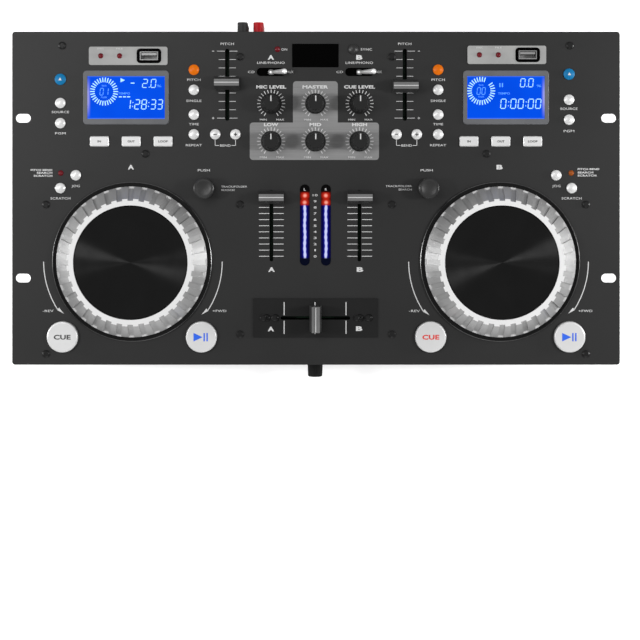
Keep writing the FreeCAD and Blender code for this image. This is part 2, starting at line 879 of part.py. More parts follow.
def fader(name, x, y, slot_length, slot_width, rest, along_x, base_z, cap):
    """A slide control: its cap and stem, the panel slot, and the housing on the board."""
    stem_low = board_top + 2.5
    length, across = fader_stem_width, fader_stem_thickness
    lever = block(0, 0, across, length, stem_low + fader_carriage, top_z + base_z)
    carriage = block(0, 0, fader_body_width - 4.4, length + 3.0, stem_low, stem_low + fader_carriage)
    handle = cap.fuse([lever, carriage])
    groove_length = slot_length + 6.0
    body_length = slot_length + fader_body_extra
    top = -fader_body_top
    housing = block(0, 0, fader_body_width, body_length, board_top, top)
    groove = block(0, 0, slot_width - 0.6, groove_length, board_top + 1.0, top + 1)
    track = block(0, 0, fader_body_width - 4.0, groove_length, stem_low - 0.2,
                  stem_low + fader_carriage + 0.2)
    housing = housing.cut(groove.fuse(track))
    panel_slot = slot(0, 0, slot_length, slot_width, -1, top_z + base_z, False)
    handle.translate(V(0, rest, 0))
    for solid in (handle, housing, panel_slot):
        if along_x:
            solid.rotate(V(0, 0, 0), V(0, 0, 1), -90)
        solid.translate(V(x, y, 0))
    save(name, [handle])
    board_pieces.append(housing)
    through_panel(panel_slot)
    return panel_slot


def make_faders():
    finger = fader_cap(cap_width, cap_base, cap_top, top_z + cap_bottom, cap_height)
    for deck, side in SIDES.items():
        fader("pitch_fader_" + deck, side * (deck_x - pitch_fader_inboard), pitch_fader_y,
              pitch_slot_length, pitch_slot_width, PITCH_REST[deck], False, cap_bottom, finger)
        fader("channel_fader_" + deck, mixer_x + side * channel_fader_x, channel_fader_y,
              channel_slot_length, channel_slot_width, channel_rest, False, cap_bottom, finger)
    wide = fader_cap(crossfader_cap_length, crossfader_cap_base, crossfader_cap_top,
                     top_z + crossfader_cap_bottom + cross_plate_thickness, crossfader_cap_height)
    opening = fader("crossfader", mixer_x, crossfader_y, crossfader_slot_length, channel_slot_width, 0,
                    True, crossfader_cap_bottom + cross_plate_thickness, wide)
    cover = block(mixer_x, crossfader_y, cross_plate_width, cross_plate_depth, top_z,
                  top_z + cross_plate_thickness)
    drills = [opening]
    for reach in (-cross_screw_far, -cross_screw_near, cross_screw_near, cross_screw_far):
        x = mixer_x + reach
        place = V(x, crossfader_y, top_z + cross_plate_thickness)
        screw(place, V(0, 0, 1), small_screw_head_r, cross_screw_length)
        drills.append(screw_hole(place, V(0, 0, 1)))
        hole(x, crossfader_y, screw_r + screw_gap)
    save("crossfader_plate", [cut(cover, drills)])


# ---- Source toggles ---------------------------------------------------------------------------
def make_toggles():
    for deck, side in SIDES.items():
        x = mixer_x + side * toggle_x
        pivot_z = -toggle_pivot_drop
        pin_half = toggle_pin_length / 2
        edge_z = toggle_length - toggle_tip_r
        lever = turned(0, 0, [(0, 0), (toggle_root_r, 0), (toggle_tip_r, edge_z),
                              dome_middle(toggle_tip_r, edge_z, toggle_length), (0, toggle_length)])
        lever = lever.fuse(Part.makeSphere(toggle_ball_r))
        lever.rotate(V(0, 0, 0), V(0, 1, 0), toggle_tilt)
        lever = lever.fuse(rod_y(0, 0, toggle_pin_r, -pin_half, pin_half))
        lever.translate(V(x, toggle_y, pivot_z))
        save("source_toggle_" + deck, [lever])
        case = block(x, toggle_y, toggle_case_width, toggle_case_depth, board_top, -0.6)
        pin_bore = rod_y(x, pivot_z, toggle_pin_r + pot_gap, toggle_y - pin_half - 0.2,
                         toggle_y + pin_half + 0.2)
        bowl = Part.makeSphere(toggle_ball_r + 0.1, V(x, toggle_y, pivot_z))
        throat_reach = toggle_length
        throat = Part.Face(Part.makePolygon([
            V(0, 0, 0), V(-throat_reach, 0, throat_reach / 1.5), V(throat_reach, 0, throat_reach / 1.5),
            V(0, 0, 0)])).extrude(V(0, 2 * toggle_tip_r, 0))
        throat.translate(V(x, toggle_y - toggle_tip_r, pivot_z - 1.2))
        board_pieces.append(case.cut(bowl).cut(throat).cut(pin_bore))
        through_panel(slab(x, toggle_y, toggle_slot_length, toggle_slot_width, toggle_slot_width / 2.2,
                           -1, top_z + 1))


# ---- Displays, socket strips and lamps --------------------------------------------------------
def make_displays():
    frames = []
    windows = []
    neck_width = lcd_width + 2 * frame_neck
    neck_depth = lcd_depth + 2 * frame_neck
    for side in SIDES.values():
        x = side * (deck_x + display_outboard)
        lip_top = top_z + frame_lip
        frame = slab(x, display_y, frame_width, frame_depth, frame_r, top_z, lip_top)
        rim = [edge for edge in frame.Edges if edge.CenterOfMass.z > lip_top - 0.01]
        frame = frame.makeChamfer(0.5, rim)
        neck = block(x, display_y, neck_width, neck_depth, -lcd_height, top_z)
        opening = block(x, display_y, lcd_width, lcd_depth, -lcd_height - 1, lip_top + 1)
        frames.append(frame.fuse(neck).cut(opening))
        glass_top = lip_top - lcd_recess
        windows.append(block(x, display_y, lcd_width - 2 * fit_gap, lcd_depth - 2 * fit_gap,
                             -lcd_height, glass_top))
        through_panel(block(x, display_y, neck_width + 2 * fit_gap, neck_depth + 2 * fit_gap,
                            -1, top_z + 1))
    windows.append(block(mixer_x, window_y, window_width - 2 * fit_gap, window_depth - 2 * fit_gap,
                         -lcd_height, top_z + window_rise))
    through_panel(block(mixer_x, window_y, window_width, window_depth, -1, top_z + 1))
    for side in SIDES.values():
        x = mixer_x + side * meter_x
        windows.append(slot(x, meter_y, meter_length - 2 * fit_gap, meter_width - 2 * fit_gap,
                            -lcd_height, top_z + window_rise, False))
        through_panel(slot(x, meter_y, meter_length, meter_width, -1, top_z + 1, False))
    save("display_frames", frames)
    save("display_windows", windows)


def make_socket_strips():
    solids = []
    leds = []
    high = top_z + strip_thickness
    for deck, side in SIDES.items():
        outboard, y = STRIP[deck]
        x = side * (deck_x + outboard)
        plate = slab(x, y, strip_width, strip_depth, strip_r, top_z, high)
        port = x + socket_x
        tools = [slab(port, y, socket_surround_width, socket_surround_depth, 3.0, top_z - 1, high + 1)]
        for step in strip_led_x:
            tools.append(rod(x + step, y, led_r + fit_gap, top_z - 1, high + 1))
            leds.append(domed_rod(x + step, y, led_r, board_top, high + 1.2, 1.1))
            hole(x + step, y, led_r + fit_gap)
        solids.append(cut(plate, tools))
        inner_width = socket_shell_width - 2 * socket_wall
        inner_depth = socket_shell_depth - 2 * socket_wall
        low = high - socket_length
        surround = slab(port, y, socket_surround_width - 2 * fit_gap,
                        socket_surround_depth - 2 * fit_gap, 2.8, 0.0, high + 0.4)
        solids.append(surround.cut(block(port, y, socket_shell_width, socket_shell_depth, -1, high + 1)))
        shell = block(port, y, socket_shell_width, socket_shell_depth, low, high + 0.4)
        cavity = block(port, y, inner_width, inner_depth, low + 1.0, high + 1)
        tongue = block(port, y + inner_depth / 2 - socket_tongue / 2 - 0.5, inner_width - 1.2,
                       socket_tongue, low + 1.0, high - 0.6)
        solids.append(shell.cut(cavity).fuse(tongue))
        through_panel(slab(port, y, socket_surround_width, socket_surround_depth, 3.0, -1, top_z + 1))
    save("socket_strips", solids)
    for side in SIDES.values():
        x = side * (deck_x + mode_led_outboard)
        leds.append(domed_rod(x, mode_led_y, mode_led_r, board_top, top_z + 1.4, 1.2))
        hole(x, mode_led_y, mode_led_r + fit_gap)
        lens = domed_rod(0, 0, front_led_r, -sheet - 5.0, 1.6, 1.5)
        leds.append(pointed(lens, V(side * tray_x, front_y, -front_led_drop), V(0, -1, 0)))
    lamp_x = mixer_x - channel_led_x
    leds.append(domed_rod(lamp_x, channel_led_y, channel_led_r, board_top, top_z + 1.4, 1.2))
    hole(lamp_x, channel_led_y, channel_led_r + fit_gap)
    save("indicator_leds", leds)


# ---- Boards -----------------------------------------------------------------------------------
def make_boards():
    boards = []
    outer = body_width / 2 - flange - board_margin
    for side in SIDES.values():
        near, far = sorted((side * (mixer_board_half + board_split), side * outer))
        board = box(near, far, front_y + board_front_gap, rear_y - board_rear_gap, board_bottom,
                    board_top)
        drills = [rod(side * x, y, screw_r + screw_gap, board_bottom - 1, board_top + 1)
                  for x, y in STANDOFF_SCREWS + BLIND_STANDOFFS if x > mixer_board_half]
        boards.append(cut(board, drills))
    mixer = box(-mixer_board_half, mixer_board_half, front_y + board_front_gap,
                rear_y - board_rear_gap, board_bottom, board_top)
    drills = [rod(side * x, y, screw_r + screw_gap, board_bottom - 1, board_top + 1)
              for side in SIDES.values() for x, y in STANDOFF_SCREWS if x < mixer_board_half]
    boards.append(cut(mixer, drills))
    front_z = -cue_knob_drop
    inner_y = front_y + sheet
    pot_case = box(-pot_size / 2, pot_size / 2, inner_y, inner_y + 9.0, front_z - pot_size / 2,
                   front_z + pot_size / 2)
    boards.append(pot_case.cut(rod_y(0, front_z, pot_shaft_r + pot_gap, inner_y - 1, inner_y + 7.0)))
    save("circuit_boards", boards + rear_board() + board_pieces)


def rear_board():
    """The players' board on the floor behind deck A, with its chips and posts."""
    low_z = floor_z + sheet + rear_board_lift
    high_z = low_z + board_thickness
    back = rear_y - rear_board_setback
    front = back - rear_board_depth
    solids = [box(-rear_board_far, -rear_board_near, front, back, low_z, high_z)]
    for x, size in ((large_chip_x, large_chip), (middle_chip_x, small_chip), (near_chip_x, small_chip)):
        solids.append(block(-x, rear_y - chip_row, size, size, high_z, high_z + chip_height))
    for x in (-rear_board_far + rear_board_post_inset, -rear_board_near - rear_board_post_inset):
        for y in (front + rear_board_post_inset, back - rear_board_post_inset):
            solids.append(rod(x, y, standoff_r, floor_z + sheet, low_z))
    return solids


def make_power_supply():
    """A transformer, capacitors, a choke and a heat sink on a board of their own."""
    low_z = floor_z + sheet + supply_lift
    top = low_z + board_thickness
    y = rear_y - supply_setback
    left = supply_x - supply_width / 2
    right = supply_x + supply_width / 2
    board = block(supply_x, y, supply_width, supply_depth, low_z, top)
    core_x = left + core_inset
    core = block(core_x, y, core_width, core_depth, top, top + core_height)
    coil = block(core_x, y, coil_width, coil_depth, top + coil_margin, top + core_height - coil_margin)
    tank = rod(right - tank_inset, y + tank_shift, tank_r, top, top + tank_height)
    filters = [rod(left + filter_inset, y + step * filter_pitch - filter_shift, filter_r, top,
                   top + filter_height) for step in (-1, 0, 1)]
    sink = block(left + sink_inset, y + supply_depth / 2 - 2 * sink_thickness - 1.0, sink_width,
                 sink_thickness, top, top + sink_height)
    choke = rod(right - choke_inset, y - choke_shift, choke_r, top,
                top + choke_height)
    posts = [rod(x, y + step * (supply_depth / 2 - supply_post_inset), standoff_r, floor_z + sheet, low_z)
             for x in (left + supply_post_inset, right - supply_post_inset) for step in (-1, 1)]
    save("power_supply", [board, core.fuse(coil), tank, sink, choke] + filters + posts)


# ---- Disc loaders -----------------------------------------------------------------------------
def disc_tray(x):
    top = tray_z + tray_offset
    low = top - tray_thickness
    back = front_y + sheet - 0.2
    half = door_width / 2 - door_gap
    bulge_y = front_y - bezel_thickness + 0.4 - door_bulge
    edge_y = front_y - bezel_thickness + 0.8
    z0 = tray_z - door_height / 2 + door_gap
    z1 = tray_z + door_height / 2 - door_gap
    outline = [Part.LineSegment(V(-half, back, z1), V(-half, back, z0)).toShape(),
               Part.LineSegment(V(-half, back, z0), V(-half, edge_y, z0)).toShape(),
               Part.Arc(V(-half, edge_y, z0), V(-half, bulge_y, tray_z), V(-half, edge_y, z1)).toShape(),
               Part.LineSegment(V(-half, edge_y, z1), V(-half, back, z1)).toShape()]
    door = Part.Face(Part.Wire(outline)).extrude(V(2 * half, 0, 0))
    length_end = well_y + disc_r + disc_well_gap + tray_tail
    plate = slab(0, (back + length_end) / 2, tray_width, length_end - back, 3.0, low, top)
    well = rod(0, well_y, disc_r + disc_well_gap, top - tray_well_depth, top + 1)
    hub = rod(0, well_y, hub_hole_r, low - 1, top + 1)
    pickup = box(-pickup_slot_width / 2, pickup_slot_width / 2, well_y, well_y + pickup_slot_length,
                 low - 1, top + 1)
    small_well = rod(0, well_y, small_disc_r, top - tray_well_depth - small_well_depth, top)
    tail_half = tray_width / 2 - tail_window_side
    tail = box(-tail_half, tail_half, well_y + disc_r + tail_window_near,
               length_end - tail_window_far, low - 1, top + 1)
    tray = cut(plate, [well, small_well.fuse([hub, pickup]), tail]).fuse(door)
    tray.translate(V(x, 0, 0))
    return tray


def loader(x):
    """The frame that guides the tray, with its clamp bridge, disc motor, pickup and guide rods."""
    top = tray_z + tray_offset
    low = top - tray_thickness
    inner = tray_width / 2 + loader_gap
    outer = inner + loader_wall
    front = front_y + sheet
    back = front + loader_depth
    floor_top = low - loader_floor_drop
    floor_low = floor_top - loader_wall
    wall_top = top + clamp_height
    walls = [box(-outer, -inner, front, back, floor_low, wall_top),
             box(inner, outer, front, back, floor_low, wall_top)]
    base = box(-outer, outer, front, back, floor_low, floor_top)
    base = base.cut(block(0, well_y, tray_width - 2 * loader_cutout_side, loader_cutout_length,
                          floor_low - 1, floor_top + 1))
    rails = []
    for side in (-1, 1):
        near, far = sorted((side * (inner - rail_reach), side * (inner + loader_wall / 2)))
        rails.append(box(near, far, front, back, low - rail_gap - rail_thickness, low - rail_gap))
        rails.append(box(near, far, front + upper_rail_start, back, top + rail_gap,
                         top + rail_gap + rail_thickness))
    bridge = block(0, well_y, 2 * outer, clamp_bar, wall_top - rail_thickness, wall_top)
    legs = [rod(sx * (outer - leg_inset), y, leg_r, floor_z + sheet, floor_low) for sx in (-1, 1)
            for y in (front + leg_front, back - leg_back)]
    ears = []
    drills = []
    for sx in (-1, 1):
        for sz in (-1, 1):
            place = V(sx * bezel_screw_x, front, tray_z + sz * bezel_screw_z)
            near, far = sorted((sx * (inner + loader_wall / 2), sx * (bezel_screw_x + ear_reach)))
            ears.append(box(near, far, front, front + ear_depth, place.z - ear_reach, place.z + ear_reach))
            drills.append(screw_hole(place, V(0, -1, 0)))
    frame = cut(base.fuse(walls + rails + [bridge] + legs + ears), drills)
    motor_top = low - leg_r
    sled_top = floor_top + 1.2
    puck = rod(0, well_y, clamp_puck_r, wall_top - 2 * rail_thickness, wall_top - rail_thickness)
    sled = block(0, well_y + 4.0, sled_width, sled_length, floor_top - 1.0, sled_top)
    motor = rod(0, well_y, spindle_r, sled_top, motor_top)
    table = rod(0, well_y, turntable_r, motor_top, low - 0.8)
    pickup_y = well_y + spindle_r + 3.0 + pickup_length / 2
    pickup = block(0, pickup_y, pickup_width, pickup_length, sled_top, motor_top)
    lens = rod(0, pickup_y - 2.0, 2.5, motor_top, low - 2.0)
    rods = [rod_y(sx * guide_rod_x, floor_top + 4.0, guide_rod_r, well_y - guide_rod_front,
                  well_y - guide_rod_front + guide_rod_length) for sx in (-1, 1)]
    solids = [frame, puck, sled, motor, table, pickup, lens] + rods
    for solid in solids:
        solid.translate(V(x, 0, 0))
    return solids


def make_loaders():
    bezels = []
    loaders = []
    for deck, side in SIDES.items():
        x = side * tray_x
        outside = front_y - bezel_thickness
        bezel = slab_y(x, tray_z, bezel_width, bezel_height, bezel_r, outside, front_y)
        rim = [edge for edge in bezel.Edges if edge.CenterOfMass.y < outside + 0.01]
        bezel = bezel.makeChamfer(0.6, rim)
        tools = [box(x - door_width / 2 - tray_opening_side, x + door_width / 2 + tray_opening_side,
                     outside - 1, front_y + 1,
                     tray_z - door_height / 2 - tray_opening_edge,
                     tray_z + door_height / 2 + tray_opening_edge)]
        for sx in (-1, 1):
            for sz in (-1, 1):
                place = V(x + sx * bezel_screw_x, outside, tray_z + sz * bezel_screw_z)
                screw(place, V(0, -1, 0), small_screw_head_r)
                tools.append(screw_hole(place, V(0, -1, 0)))
        bezels.append(cut(bezel, tools))
        loaders += loader(x)
        save("disc_tray_" + deck, [disc_tray(x)])
    save("tray_bezels", bezels)
    save("disc_loaders", loaders)


# ---- Front sockets ----------------------------------------------------------------------------
def make_front_jacks():
    solids = []
    inner = front_y + sheet
    for side in SIDES.values():
        x = side * jack_x
        body = box(x - jack_body / 2, x + jack_body / 2, inner, front_y + jack_bore_length,
                   -jack_drop - jack_body / 2, -jack_drop + jack_body / 2)
        nose = rod_y(x, -jack_drop, jack_nut_r - jack_nose_step, front_y - jack_nut_thickness, inner)
        nut = rod_y(x, -jack_drop, jack_nut_r, front_y - jack_nut_thickness, front_y)
        bore = rod_y(x, -jack_drop, jack_bore_r, front_y - 5.0, front_y + jack_bore_length - 2.0)
        solids.append(body.fuse([nose, nut]).cut(bore))
    save("front_jacks", solids)


# ---- Rear sockets -----------------------------------------------------------------------------
def make_rear_connectors():
    solids = []
    columns = [phono_x - phono_pitch_x / 2, phono_x + phono_pitch_x / 2]
    rows = [-phono_drop - index * phono_pitch_z for index in range(phono_rows)]
    block_low = rows[-1] - phono_pitch_z / 2
    case = box(phono_x - phono_pitch_x, phono_x + phono_pitch_x, rear_y - sheet - 9.0, rear_y - sheet,
               block_low, -board_drop + 4.0)
    solids.append(case)
    for x in columns:
        for z in rows:
            profile = turned(0, 0, [(0, -sheet), (phono_r, -sheet), (phono_r, 0), (phono_r + 1.6, 0),
                                    (phono_r + 1.2, 1.4), (phono_r, 5.0), (phono_r, phono_length - 0.3),
                                    (phono_r - 0.3, phono_length), (phono_pin_r, phono_length),
                                    (phono_pin_r, phono_length - 9.0), (0, phono_length - 9.0)])
            solids.append(pointed(profile, V(x, rear_y, z), V(0, 1, 0)))
    z = -inlet_drop
    face = slab_y(inlet_x, z, inlet_flange_width, inlet_flange_height, 3.0, rear_y, rear_y + 2.0)
    case = slab_y(inlet_x, z, inlet_width, inlet_height, 3.0, rear_y - inlet_depth, rear_y)
    cavity = slab_y(inlet_x, z, inlet_width - 2 * inlet_wall, inlet_height - 2 * inlet_wall, 2.5,
                    rear_y - inlet_depth + inlet_wall, rear_y + 3.0)
    floor_y = rear_y - inlet_depth + inlet_wall
    tools = [cavity]
    for sx in (-1, 1):
        place = V(inlet_x + sx * inlet_screw_x, rear_y + 2.0, z)
        screw(place, V(0, 1, 0), small_screw_head_r)
        tools.append(screw_hole(place, V(0, 1, 0)))
    solids.append(cut(face.fuse(case), tools))
    for dx, dz in ((-7.0, -2.0), (7.0, -2.0), (0.0, 2.0)):
        solids.append(box(inlet_x + dx - blade_width / 2, inlet_x + dx + blade_width / 2, floor_y,
                          rear_y - 1.0, z + dz - blade_height / 2, z + dz + blade_height / 2))
    frame = slab_y(rocker_x, z, rocker_width + 2.5, rocker_height + 2.5, 1.0, rear_y, rear_y + 1.2)
    shell = box(rocker_x - rocker_width / 2 - 0.4, rocker_x + rocker_width / 2 + 0.4,
                rear_y - rocker_case_depth, rear_y, z - rocker_height / 2 - 0.4, z + rocker_height / 2 + 0.4)
    pocket = box(rocker_x - rocker_width / 2 + 0.6, rocker_x + rocker_width / 2 - 0.6,
                 rear_y - rocker_pocket_depth, rear_y + 3.0, z - rocker_height / 2 + 0.6,
                 z + rocker_height / 2 - 0.6)
    pin_half = rocker_width / 2 + rocker_pin_reach + fit_gap
    pin_bore = rod_x(rear_y - rocker_pivot_depth, z, rocker_pin_r + pot_gap, rocker_x - pin_half,
                     rocker_x + pin_half)
    solids.append(frame.fuse(shell).cut(pocket).cut(pin_bore))
    save("rear_connectors", solids)
    save("power_rocker", [rocker()])


def rocker():
    """A two-armed rocker, tilted to its off side, turning about a line along X."""
    half = rocker_height / 2 - 1.4
    rise = half * math.tan(math.radians(rocker_tilt))
    pivot_y = rear_y - rocker_pivot_depth
    pin_half = rocker_width / 2 + rocker_pin_reach
    outline = [V(0, -3.0, -half), V(0, 2.2 + rise, -half), V(0, 2.2, 0), V(0, 2.2 + rise, half),
               V(0, -3.0, half), V(0, -6.0, 0), V(0, -3.0, -half)]
    body = Part.Face(Part.makePolygon(outline)).extrude(V(rocker_width - 2.0, 0, 0))
    body.translate(V(-(rocker_width - 2.0) / 2, 0, 0))
    body = body.fuse(rod_x(0, 0, rocker_pin_r, -pin_half, pin_half))
    body.rotate(V(0, 0, 0), V(1, 0, 0), -rocker_tilt)
    body.translate(V(rocker_x, pivot_y, -inlet_drop))
    return body


# ---- Sheet metal ------------------------------------------------------------------------------
def front_screw_places():
    """The screws that hold the front wall to the panel's folded edge."""
    columns = (-front_screw_far_x, -front_screw_near_x, 0.0, front_screw_near_x, front_screw_far_x)
    return [V(x, front_y, -front_screw_drop) for x in columns]


def transport_notches():
    """Room in the bent edges for the large buttons' flanges."""
    r = cue_button_r + button_flange + bend_gap
    return [rod(side * deck_x + step * transport_pitch / 2, transport_y, r, -2 * sheet, 0)
            for side in SIDES.values() for step in (-1, 1)]


def make_panel():
    plate = slab(0, 0, plate_width, plate_depth, plate_corner_r, 0, top_z)
    for sx in (-1, 1):
        for sy in (-1, 1):
            through_panel(slot(sx * rack_pitch_x / 2, sy * rack_pitch_y / 2, rack_slot_length,
                               rack_slot_width, -1, top_z + 1, True))
    for x, y in PANEL_SCREWS + STANDOFF_SCREWS:
        for sx in (-1, 1):
            screw(V(sx * x, y, top_z), V(0, 0, 1))
            hole(sx * x, y, screw_r + screw_gap)
    plate = cut(plate, panel_holes)
    reach = body_width / 2 - flange - 3.0
    inner = front_y + sheet
    rail = box(-reach, reach, inner, inner + flange, -sheet, 0)
    rail = rail.fuse(box(-reach, reach, inner, inner + sheet, -rail_leg, 0))
    rail = cut(rail, [screw_hole(place, V(0, -1, 0)) for place in front_screw_places()]
               + transport_notches())
    save("top_panel", [plate.fuse(rail)])


def make_standoffs():
    solids = []
    for x, y in STANDOFF_SCREWS + BLIND_STANDOFFS:
        for sx in (-1, 1):
            post = rod(sx * x, y, standoff_r, board_top, 0)
            solids.append(post.cut(rod(sx * x, y, screw_r + screw_gap, board_top - 1, 1)))
            place = V(sx * x, y, board_bottom)
            screw(place, V(0, 0, -1), small_screw_head_r, small_screw_length)
    return solids


def make_body():
    half = body_width / 2
    inner_x = half - sheet
    y0, y1 = front_y + sheet, rear_y - sheet
    bottom = box(-half, half, y0, y1, floor_z, floor_z + sheet)
    shell = [bottom]
    for sx in (-1, 1):
        near, far = sorted((sx * inner_x, sx * half))
        shell.append(box(near, far, y0, y1, floor_z, 0))
        near, far = sorted((sx * (half - flange), sx * half))
        shell.append(box(near, far, y0, y1, -sheet, 0))
    drills = [screw_hole(V(sx * x, y, top_z), V(0, 0, 1)) for x, y in PANEL_SCREWS[1:] for sx in (-1, 1)]
    drills += transport_notches()
    front_return = inner_x - bend_gap
    front = [box(-half, half, front_y, y0, floor_z, 0),
             box(-front_return, front_return, y0, y0 + flange, floor_z + sheet, floor_z + 2 * sheet)]
    rear = [box(-half, half, y1, rear_y, floor_z, 0),
            box(-front_return, front_return, y1 - flange, y1, floor_z + sheet, floor_z + 2 * sheet),
            block(-PANEL_SCREWS[0][0], y1 - flange / 2, tab_width, flange, -sheet, 0),
            block(PANEL_SCREWS[0][0], y1 - flange / 2, tab_width, flange, -sheet, 0)]
    for sx in (-1, 1):
        near, far = sorted((sx * (front_return - sheet), sx * front_return))
        front.append(box(near, far, y0, y0 + flange, floor_z + sheet, -2 * sheet))
        rear.append(box(near, far, y1 - flange, y1, floor_z + sheet, -2 * sheet))
    side_drills = []
    for sx in (-1, 1):
        for y in (y0 + flange / 2, y1 - flange / 2):
            for drop in (side_screw_high, side_screw_low):
                place = V(sx * half, y, -drop)
                screw(place, V(sx, 0, 0), small_screw_head_r, small_screw_length)
                side_drills.append(screw_hole(place, V(sx, 0, 0)))
            place = V(sx * (half - bottom_screw_inset), y, floor_z)
            screw(place, V(0, 0, -1), small_screw_head_r, small_screw_length)
            side_drills.append(screw_hole(place, V(0, 0, -1)))
    feet = []
    for sx in (-1, 1):
        for y in (front_y + foot_inset_y, rear_y - foot_inset_y):
            x = sx * (half - foot_inset_x)
            feet.append(turned(x, y, [
                (screw_r + screw_gap, floor_z), (foot_r, floor_z), (foot_r - 1.0, floor_z - foot_height),
                (screw_head_r + foot_screw_gap, floor_z - foot_height),
                (screw_head_r + foot_screw_gap, floor_z - foot_web),
                (screw_r + screw_gap, floor_z - foot_web)]))
            place = V(x, y, floor_z - foot_web)
            screw(place, V(0, 0, -1))
            drills.append(screw_hole(place, V(0, 0, -1)))
    cover = shell[0].fuse(shell[1:])
    save("bottom_cover", [cut(cover, drills + side_drills)])
    save("rubber_feet", feet)
    make_front_panel(front, side_drills)
    make_rear_panel(rear, side_drills)


def make_front_panel(walls, side_drills):
    tools = list(side_drills)
    for sx in (-1, 1):
        x = sx * tray_x
        tools.append(box(x - door_width / 2 - tray_opening_side, x + door_width / 2 + tray_opening_side,
                         front_y - 1, front_y + 4, tray_z - door_height / 2 - tray_opening_edge,
                         tray_z + door_height / 2 + tray_opening_edge))
        tools.append(rod_y(x, -front_led_drop, front_led_r + fit_gap, front_y - 1, front_y + 4))
        tools.append(rod_y(sx * jack_x, -jack_drop, jack_nut_r - jack_nose_step + fit_gap, front_y - 1,
                           front_y + 4))
        place = V(sx * jack_screw_x, front_y, -jack_drop)
        screw(place, V(0, -1, 0), small_screw_head_r, small_screw_length)
        tools.append(screw_hole(place, V(0, -1, 0)))
        for bx in (-1, 1):
            for bz in (-1, 1):
                tools.append(screw_hole(V(x + bx * bezel_screw_x, front_y, tray_z + bz * bezel_screw_z),
                                        V(0, -1, 0)))
    tools.append(rod_y(0, -cue_knob_drop, pot_shaft_r + shaft_hole_gap, front_y - 1, front_y + 4))
    for place in front_screw_places():
        screw(place, V(0, -1, 0), small_screw_head_r)
        tools.append(screw_hole(place, V(0, -1, 0)))
    save("front_panel", [cut(walls[0].fuse(walls[1:]), tools)])


def make_rear_panel(walls, side_drills):
    tools = list(side_drills)
    for sx in (-1, 1):
        tools.append(screw_hole(V(sx * PANEL_SCREWS[0][0], PANEL_SCREWS[0][1], top_z), V(0, 0, 1)))
        tools.append(screw_hole(V(inlet_x + sx * inlet_screw_x, rear_y, -inlet_drop), V(0, 1, 0)))
        for row in range(phono_rows):
            tools.append(rod_y(phono_x + sx * phono_pitch_x / 2, -phono_drop - row * phono_pitch_z,
                               phono_r + fit_gap, rear_y - 4, rear_y + 1))
    tools.append(slab_y(inlet_x, -inlet_drop, inlet_width + 2 * fit_gap, inlet_height + 2 * fit_gap, 3.0,
                        rear_y - 4, rear_y + 1))
    z = -inlet_drop
    tools.append(box(rocker_x - rocker_width / 2 - rocker_opening_gap,
                     rocker_x + rocker_width / 2 + rocker_opening_gap, rear_y - 4,
                     rear_y + 1, z - rocker_height / 2 - rocker_opening_gap,
                     z + rocker_height / 2 + rocker_opening_gap))
    save("rear_panel", [cut(walls[0].fuse(walls[1:]), tools)])


def main():
    os.makedirs("parts", exist_ok=True)
    make_buttons()
    make_jog_wheels()
    make_jog_bases()
    make_knobs()
    make_phones_knob()
    make_encoders()
    make_faders()
    make_toggles()
    make_displays()
    make_socket_strips()
    make_loaders()
    make_front_jacks()
    make_rear_connectors()
    make_power_supply()
    make_body()
    standoffs = make_standoffs()
    make_panel()
    make_boards()
    save("screws_and_standoffs", screws + standoffs)


main()
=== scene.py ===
import math

import bmesh
import bpy
from mathutils import Matrix, Vector


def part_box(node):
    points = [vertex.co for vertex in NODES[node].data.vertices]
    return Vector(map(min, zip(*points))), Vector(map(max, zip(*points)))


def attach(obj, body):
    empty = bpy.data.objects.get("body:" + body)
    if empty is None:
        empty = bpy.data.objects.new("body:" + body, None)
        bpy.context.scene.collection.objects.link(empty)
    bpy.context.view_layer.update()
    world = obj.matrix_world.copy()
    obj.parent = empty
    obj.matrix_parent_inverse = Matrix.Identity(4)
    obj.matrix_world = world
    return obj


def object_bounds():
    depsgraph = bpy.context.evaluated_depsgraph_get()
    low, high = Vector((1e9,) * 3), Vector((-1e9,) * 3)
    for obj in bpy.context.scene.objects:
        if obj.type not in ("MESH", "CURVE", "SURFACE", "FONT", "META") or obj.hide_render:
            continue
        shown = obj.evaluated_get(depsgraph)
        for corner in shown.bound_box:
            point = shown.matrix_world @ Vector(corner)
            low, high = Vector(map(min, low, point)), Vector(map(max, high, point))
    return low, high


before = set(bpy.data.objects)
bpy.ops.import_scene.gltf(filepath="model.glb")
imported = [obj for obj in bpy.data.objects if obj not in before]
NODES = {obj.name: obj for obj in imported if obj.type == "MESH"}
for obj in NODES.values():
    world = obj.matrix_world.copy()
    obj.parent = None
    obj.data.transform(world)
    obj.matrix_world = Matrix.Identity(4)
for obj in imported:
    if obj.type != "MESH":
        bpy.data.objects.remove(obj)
cad_low, cad_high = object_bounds()

# The looks of a twin disc player console. Blender works in metres; the numbers below are
# millimetres, times MM, apart from those of the studio.
# +X is the user's right, +Y the rear, +Z up; the left deck is "a", the right deck is "b".
MM = 0.001
SIDES = {"a": -1, "b": 1}


# ---- Places read from the frame ----------------------------------------------------------------
def centre_of(node):
    low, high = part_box(node)
    return (low + high) / 2 / MM


def top_of(node):
    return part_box(node)[1].z / MM


PANEL_TOP = top_of("top_panel")
FRONT_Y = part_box("front_panel")[0].y / MM
JOG = {deck: centre_of("jog_wheel_" + deck) for deck in SIDES}
JOG_TOP = top_of("jog_wheel_a")
KNOB_TOP = top_of("master_knob")
MIXER_X = centre_of("master_knob").x

# ---- Sizes that the frame doesn't tell, as measured in the photograph ---------------------------
JOG_DISC_R = 44.7
LCD_X = 150.8
LCD_Y = 80.0
LCD_HALF = (30.8, 17.05)
LCD_TOP = PANEL_TOP + 0.5
JACK_X = 25.0
JACK_Z = -52.6
JACK_BORE_R = 3.25
